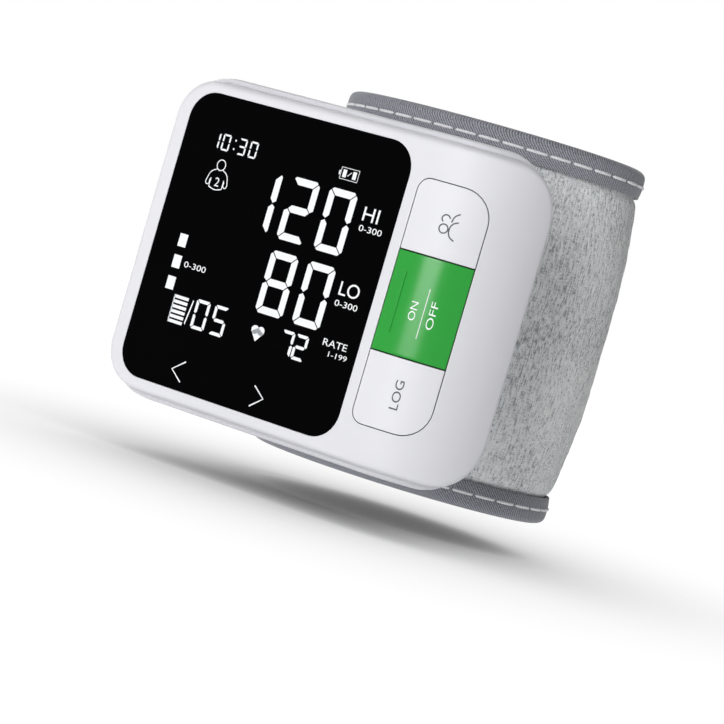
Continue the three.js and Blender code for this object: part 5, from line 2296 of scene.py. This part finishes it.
    def stitches(self, stretch: Stretch, side: Rim) -> bpy.types.Object:
        """Sews the dashes along one edge, outside and inside.

        Args:
            stretch: The stretch.
            side: The edge.

        Returns:
            The piece.
        """
        bm = bmesh.new()
        start, end = LOOP.length(stretch.start), LOOP.length(stretch.end)
        joint = LOOP.length(ARM_START)
        first = math.ceil((start - joint) / self.pitch - 0.5)
        last = math.floor((end - joint) / self.pitch - 0.5)
        for k in range(first, last + 1):
            middle = joint + (k + 0.5) * self.pitch
            free = self.dash / 2 + self.lead
            if middle < start + free or middle > end - free:
                continue
            for outside in (True, False):
                lift = self.inner_lift - self.tape - self.thread_under
                if outside:
                    lift = self.rise + self.thread_over
                spot = (middle, lift, side.value * (self.half - self.seam))
                turn = Matrix.Translation(spot) @ Matrix.Diagonal(
                    (self.dash / 2, self.thread_half, self.thread, 1.0))
                turn = turn @ Matrix.Rotation(math.pi / 2, 4, "Y")
                made = bmesh.ops.create_uvsphere(
                    bm, u_segments=8, v_segments=8, radius=1.0, matrix=turn)
                for vert in made["verts"]:
                    share = (vert.co.x - middle) / (self.dash / 2)
                    blunt = math.sin(math.pi / 2 * min(1.0, abs(share))) ** self.blunt
                    vert.co.x = middle + math.copysign(blunt * self.dash / 2, share)
                    dip = self.thread_dip * blunt ** 8
                    vert.co.y += stretch.lift(vert.co.x) - (dip if outside else -dip)
        place_vertices(bm, LOOP.place)
        name = f"{stretch.part.value}_{side.word}_stitches"
        piece = to_piece(bm, name, None, THREAD, "binding_fabric", sharp=60.0)
        stretch.carry(piece)
        return piece


@dataclass(frozen=True)
class Tail:
    """Closing tail: a cloth strip with touch tape that lies on the cuff's end."""

    start: float = 150.35
    end: float = 212.0
    half: float = 24.0
    corner: float = 9.0
    lift: float = 4.15
    thickness: float = 0.9
    hook_lift: float = 2.95
    hook_thickness: float = 0.8
    hook_start: float = CUFF_START
    hook_margin: float = 3.0
    root_corner: float = 0.3
    cell: float = 1.2
    row: float = 2.0
    flat_before: float = 150.0
    wave: float = 0.1
    bend: float = 5.0
    turn_radius: float = 30.0

    def strip(
        self, name: str, start: float, end: float, half: float, lift: float, thickness: float,
        finish: Finish, slot: str, node: str,
    ) -> bpy.types.Object:
        """Makes a strip with rounded end corners.

        Args:
            name: The piece's name.
            start: Where it starts, in degrees.
            end: Where it ends.
            half: Half its height.
            lift: Lift of its outer side.
            thickness: Its thickness.
            finish: Its finish.
            slot: The record's material slot.
            node: The node that it stands for.

        Returns:
            The piece.
        """
        bm = bmesh.new()
        x0, x1 = LOOP.length(start), LOOP.length(end)
        outline = Outline(
            x0, x1, -half, half, self.root_corner, self.corner, self.corner, self.root_corner,
        )
        fill(bm, outline.draw(bm, 0.0, segments=10))
        slice_along(bm, x0, x1, self.cell)
        slice_along(bm, -half, half, self.row, (0.0, 0.0, 1.0))
        map_cloth(bm)
        for vert in bm.verts:
            tuck = LOOP.tuck(max(self.flat_before, LOOP.degrees(vert.co.x)))
            wave = noise.noise(Vector((vert.co.x * 0.15, vert.co.z * 0.06, 1.5)))
            vert.co.y = lift + tuck + self.wave * wave
        thicken(bm, thickness)
        place_vertices(bm, LOOP.place)
        piece = to_piece(bm, name, None, finish, slot, sharp=50.0)
        bend = LOOP.place(x0, lift, 0.0)
        past = LOOP.place(x0 + self.bend, lift, 0.0)
        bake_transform(piece)
        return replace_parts(piece, node)

    def build(self) -> list[bpy.types.Object]:
        """Makes the strip and its touch tape.

        Returns:
            The pieces.
        """
        cloth = self.strip(
            "tail_strip", self.start, self.end, self.half, self.lift, self.thickness,
            OUTER_CLOTH, "cuff_fabric", "tail_fabric",
        )
        margin = math.degrees(self.hook_margin / self.turn_radius)
        tape = self.strip(
            "tail_touch_tape", self.hook_start, self.end - margin, self.half - self.hook_margin,
            self.hook_lift, self.hook_thickness, TOUCH_TAPE, "hook_tape", "tail_hook_tape",
        )
        return [cloth, tape]


@dataclass(frozen=True)
class Cuff:
    """The preformed cuff."""

    outer: ClothLayer = ClothLayer(
        "cloth", OUTER_CLOTH, "cuff_fabric", 35.9, -0.2, 1.85, thickness=0.4,
    )
    lining: ClothLayer = ClothLayer(
        "inner_cloth", LINING_CLOTH, "lining_fabric", 35.9, -2.1, -3.7, swell=13.0, tucked=0.0,
        folds=0.12, felt=0.05, cell=1.4, seed=8.1,
    )
    binding: Binding = Binding()
    tail: Tail = Tail()

    def build(self) -> list[bpy.types.Object]:
        """Makes every cloth piece.

        Returns:
            The pieces.
        """
        made = [
            self.outer.build(ROOT, "cuff_outer_fabric"),
            self.outer.build(ARM, "arm_outer_fabric"),
            self.lining.build(ROOT, "cuff_lining"),
            self.lining.build(ARM, "arm_lining"),
        ]
        for stretch in (ROOT, ARM):
            made.append(
                self.binding.end_piece(stretch, stretch is ROOT, self.outer, self.lining))
            for side in Rim:
                node = f"{stretch.part.value}_{side.word}_binding"
                made.append(self.binding.tape_piece(stretch, side, node))
                made.append(self.binding.stitches(stretch, side))
        return made + self.tail.build()


# Pieces that keep their solids


@dataclass(frozen=True)
class InnerParts:
    """Finishes of the parts inside the unit and the cuff."""

    finishes: tuple[tuple[Finish, tuple[str, ...]], ...] = (
        (BOARD, ("main_board", "key_board")),
        (DARK_PLASTIC, (
            "display_module", "user_switch", "start_switch", "memory_switch", "pump_head",
            "pressure_sensor", "buzzer",
        )),
        (PALE_PLASTIC, (
            "user_switch_stem", "start_switch_stem", "memory_switch_stem", "air_manifold",
            "air_nipple",
        )),
        (STEEL, (
            "key_board_screw_1", "key_board_screw_2", "housing_screw_1", "housing_screw_2",
            "housing_screw_3", "housing_screw_4", "pump_motor", "exhaust_valve",
            "charging_socket", "cuff_screw_1", "cuff_screw_2",
        )),
        (SILICONE, ("air_hose", "air_bladder")),
        (CELL_WRAP, ("battery_cell",)),
        (FORMER_SHEET, ("cuff_former", "arm_former")),
    )

    def dress(self) -> int:
        """Gives each solid its finish.

        Returns:
            How many were dressed.
        """
        count = 0
        for finish, names in self.finishes:
            for name in names:
                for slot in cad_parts[name].material_slots:
                    slot.material = finish.material()
                count += 1
        return count


# Studio


@dataclass(frozen=True)
class Lamp:
    """Soft lamp that looks at the object, in metres and degrees."""

    name: str
    azimuth: float
    elevation: float
    width: float
    height: float
    power: float
    mirrored: bool = False
    distance: float = 1.5
    aim: float = 0.037

    def hang(self) -> None:
        """Hangs it, by its degrees to the right of the display's front and above the floor."""
        data = bpy.data.lights.new(self.name, "AREA")
        data.shape = "RECTANGLE"
        data.size, data.size_y = self.width, self.height
        data.energy = self.power
        lamp = bpy.data.objects.new(self.name, data)
        bpy.context.scene.collection.objects.link(lamp)
        a, e = math.radians(self.azimuth), math.radians(self.elevation)
        back = Vector((math.sin(a) * math.cos(e), -math.cos(a) * math.cos(e), math.sin(e)))
        lamp.location = Vector((0.0, 0.0, self.aim)) + back * self.distance
        lamp.rotation_mode = "QUATERNION"
        lamp.rotation_quaternion = (-back).to_track_quat("-Z", "Y")
        lamp.visible_glossy = self.mirrored


@dataclass(frozen=True)
class Studio:
    """Pale floor, white surroundings, soft lamps and the camera."""

    camera_place: Triple = (0.330076, -0.501337, 0.042242)
    camera_right: Triple = (0.79034, 0.5441, 0.28165)
    camera_down: Triple = (0.25254, 0.12953, -0.95888)
    lens: float = 147.34
    sensor: float = 36.0
    floor_half: float = 6.0
    floor_drop: float = 0.008
    floor_tint: float = 0.8
    floor_seen: float = 0.12
    table_glow: float = 0.45
    shade_reach: float = 0.22
    shade_depth: float = 1.1
    world_strength: float = 0.05
    lamps: tuple[Lamp, ...] = (
        Lamp("key_softbox", 6.0, 18.0, 0.55, 1.3, 15.0, mirrored=True),
        Lamp("left_softbox", -40.0, 8.0, 0.6, 0.8, 3.4),
        Lamp("right_softbox", 54.0, 12.0, 0.5, 0.8, 1.7),
        Lamp("rear_softbox", -138.0, 30.0, 0.8, 0.8, 9.0),
    )

    def camera(self) -> None:
        """Sets the camera where the photograph was taken from."""
        data = bpy.data.cameras.new("camera")
        data.lens = self.lens
        data.sensor_width = self.sensor
        data.sensor_fit = "AUTO"
        data.clip_start, data.clip_end = 0.01, 50.0
        camera = bpy.data.objects.new("camera", data)
        bpy.context.scene.collection.objects.link(camera)
        right, down = Vector(self.camera_right), Vector(self.camera_down)
        forward = right.cross(down)
        turn = Matrix((right, -down, -forward)).transposed()
        camera.matrix_world = Matrix.Translation(self.camera_place) @ turn.to_4x4()
        bpy.context.scene.camera = camera

    def floor(self) -> None:
        """Lays the floor: to the camera a white glow with a painted shadow from ambient occlusion,
        to other rays a pale floor whose glow lights the object from below.
        """
        bm = bmesh.new()
        bmesh.ops.create_grid(
            bm, x_segments=1, y_segments=1, size=self.floor_half,
            matrix=Matrix.Translation((0.0, 0.0, -self.floor_drop)),
        )
        mesh = bpy.data.meshes.new("floor")
        bm.to_mesh(mesh)
        bm.free()
        floor = bpy.data.objects.new("floor", mesh)
        bpy.context.scene.collection.objects.link(floor)
        sheet = NodeSheet("floor")
        sheet.set(Roughness=1.0, Specular_IOR_Level=0.0, Emission_Color=(1.0, 1.0, 1.0, 1.0))
        path = sheet.add("LightPath").outputs
        seen = sheet.maths("MAXIMUM", path["Is Camera Ray"], path["Is Glossy Ray"])
        seen = sheet.maths("MAXIMUM", seen, path["Is Transmission Ray"])
        # To the camera the floor's glow follows its ambient occlusion: a painted shadow of the
        # object.
        open_sky = sheet.add("AmbientOcclusion", samples=24)
        open_sky.inputs["Distance"].default_value = self.shade_reach
        shade = sheet.maths("POWER", open_sky.outputs["AO"], self.shade_depth)
        # To other rays the floor glows at the table glow, painted light on the object from below.
        glow = sheet.add("MapRange")
        glow.inputs["To Min"].default_value = self.table_glow
        sheet.link(seen, glow.inputs["Value"])
        sheet.link(shade, glow.inputs["To Max"])
        tint = sheet.add("MapRange")
        tint.inputs["To Min"].default_value = self.floor_tint
        tint.inputs["To Max"].default_value = self.floor_seen
        sheet.link(seen, tint.inputs["Value"])
        sheet.drive("Base Color", tint.outputs["Result"])
        sheet.drive("Emission Strength", glow.outputs["Result"])
        mesh.materials.append(sheet.material)

    def world(self) -> None:
        """White surroundings for the camera, softer light for the rest."""
        world = bpy.data.worlds.new("surroundings")
        bpy.context.scene.world = world
        world.use_nodes = True
        tree = world.node_tree
        back = tree.nodes["Background"]
        back.inputs["Color"].default_value = (1.0, 1.0, 1.0, 1.0)
        path = tree.nodes.new("ShaderNodeLightPath").outputs
        seen = path["Is Camera Ray"]
        for ray in ("Is Transmission Ray", "Is Glossy Ray"):
            either = tree.nodes.new("ShaderNodeMath")
            either.operation = "MAXIMUM"
            tree.links.new(seen, either.inputs[0])
            tree.links.new(path[ray], either.inputs[1])
            seen = either.outputs["Value"]
        strength = tree.nodes.new("ShaderNodeMapRange")
        strength.inputs["To Min"].default_value = self.world_strength
        strength.inputs["To Max"].default_value = 1.0
        tree.links.new(seen, strength.inputs["Value"])
        tree.links.new(strength.outputs["Result"], back.inputs["Strength"])

    def build(self) -> None:
        """Sets up the whole studio."""
        bpy.context.scene.view_settings.view_transform = "Standard"
        self.camera()
        self.floor()
        self.world()
        for lamp in self.lamps:
            lamp.hang()


def report(*pieces: bpy.types.Object) -> None:
    """Logs each piece's name and number of faces."""
    for piece in pieces:
        log.info("%s: %d faces", piece.name, len(piece.data.polygons))


def main() -> None:
    """Builds every sub-assembly in order."""
    logging.basicConfig(level=logging.INFO, format="%(name)s: %(message)s")
    Studio().build()
    log.info("studio ready")
    report(FrontHousing().build(), RearHousing().build())
    display = Display()
    report(display.window(), display.readings())
    keys = KeyStrip()
    report(*(key.build() for key in keys.keys()), keys.touch_line(), *keys.prints())
    report(*Cuff().build())
    log.info("%d solids dressed", InnerParts().dress())


if __name__ == "__main__":
    main()
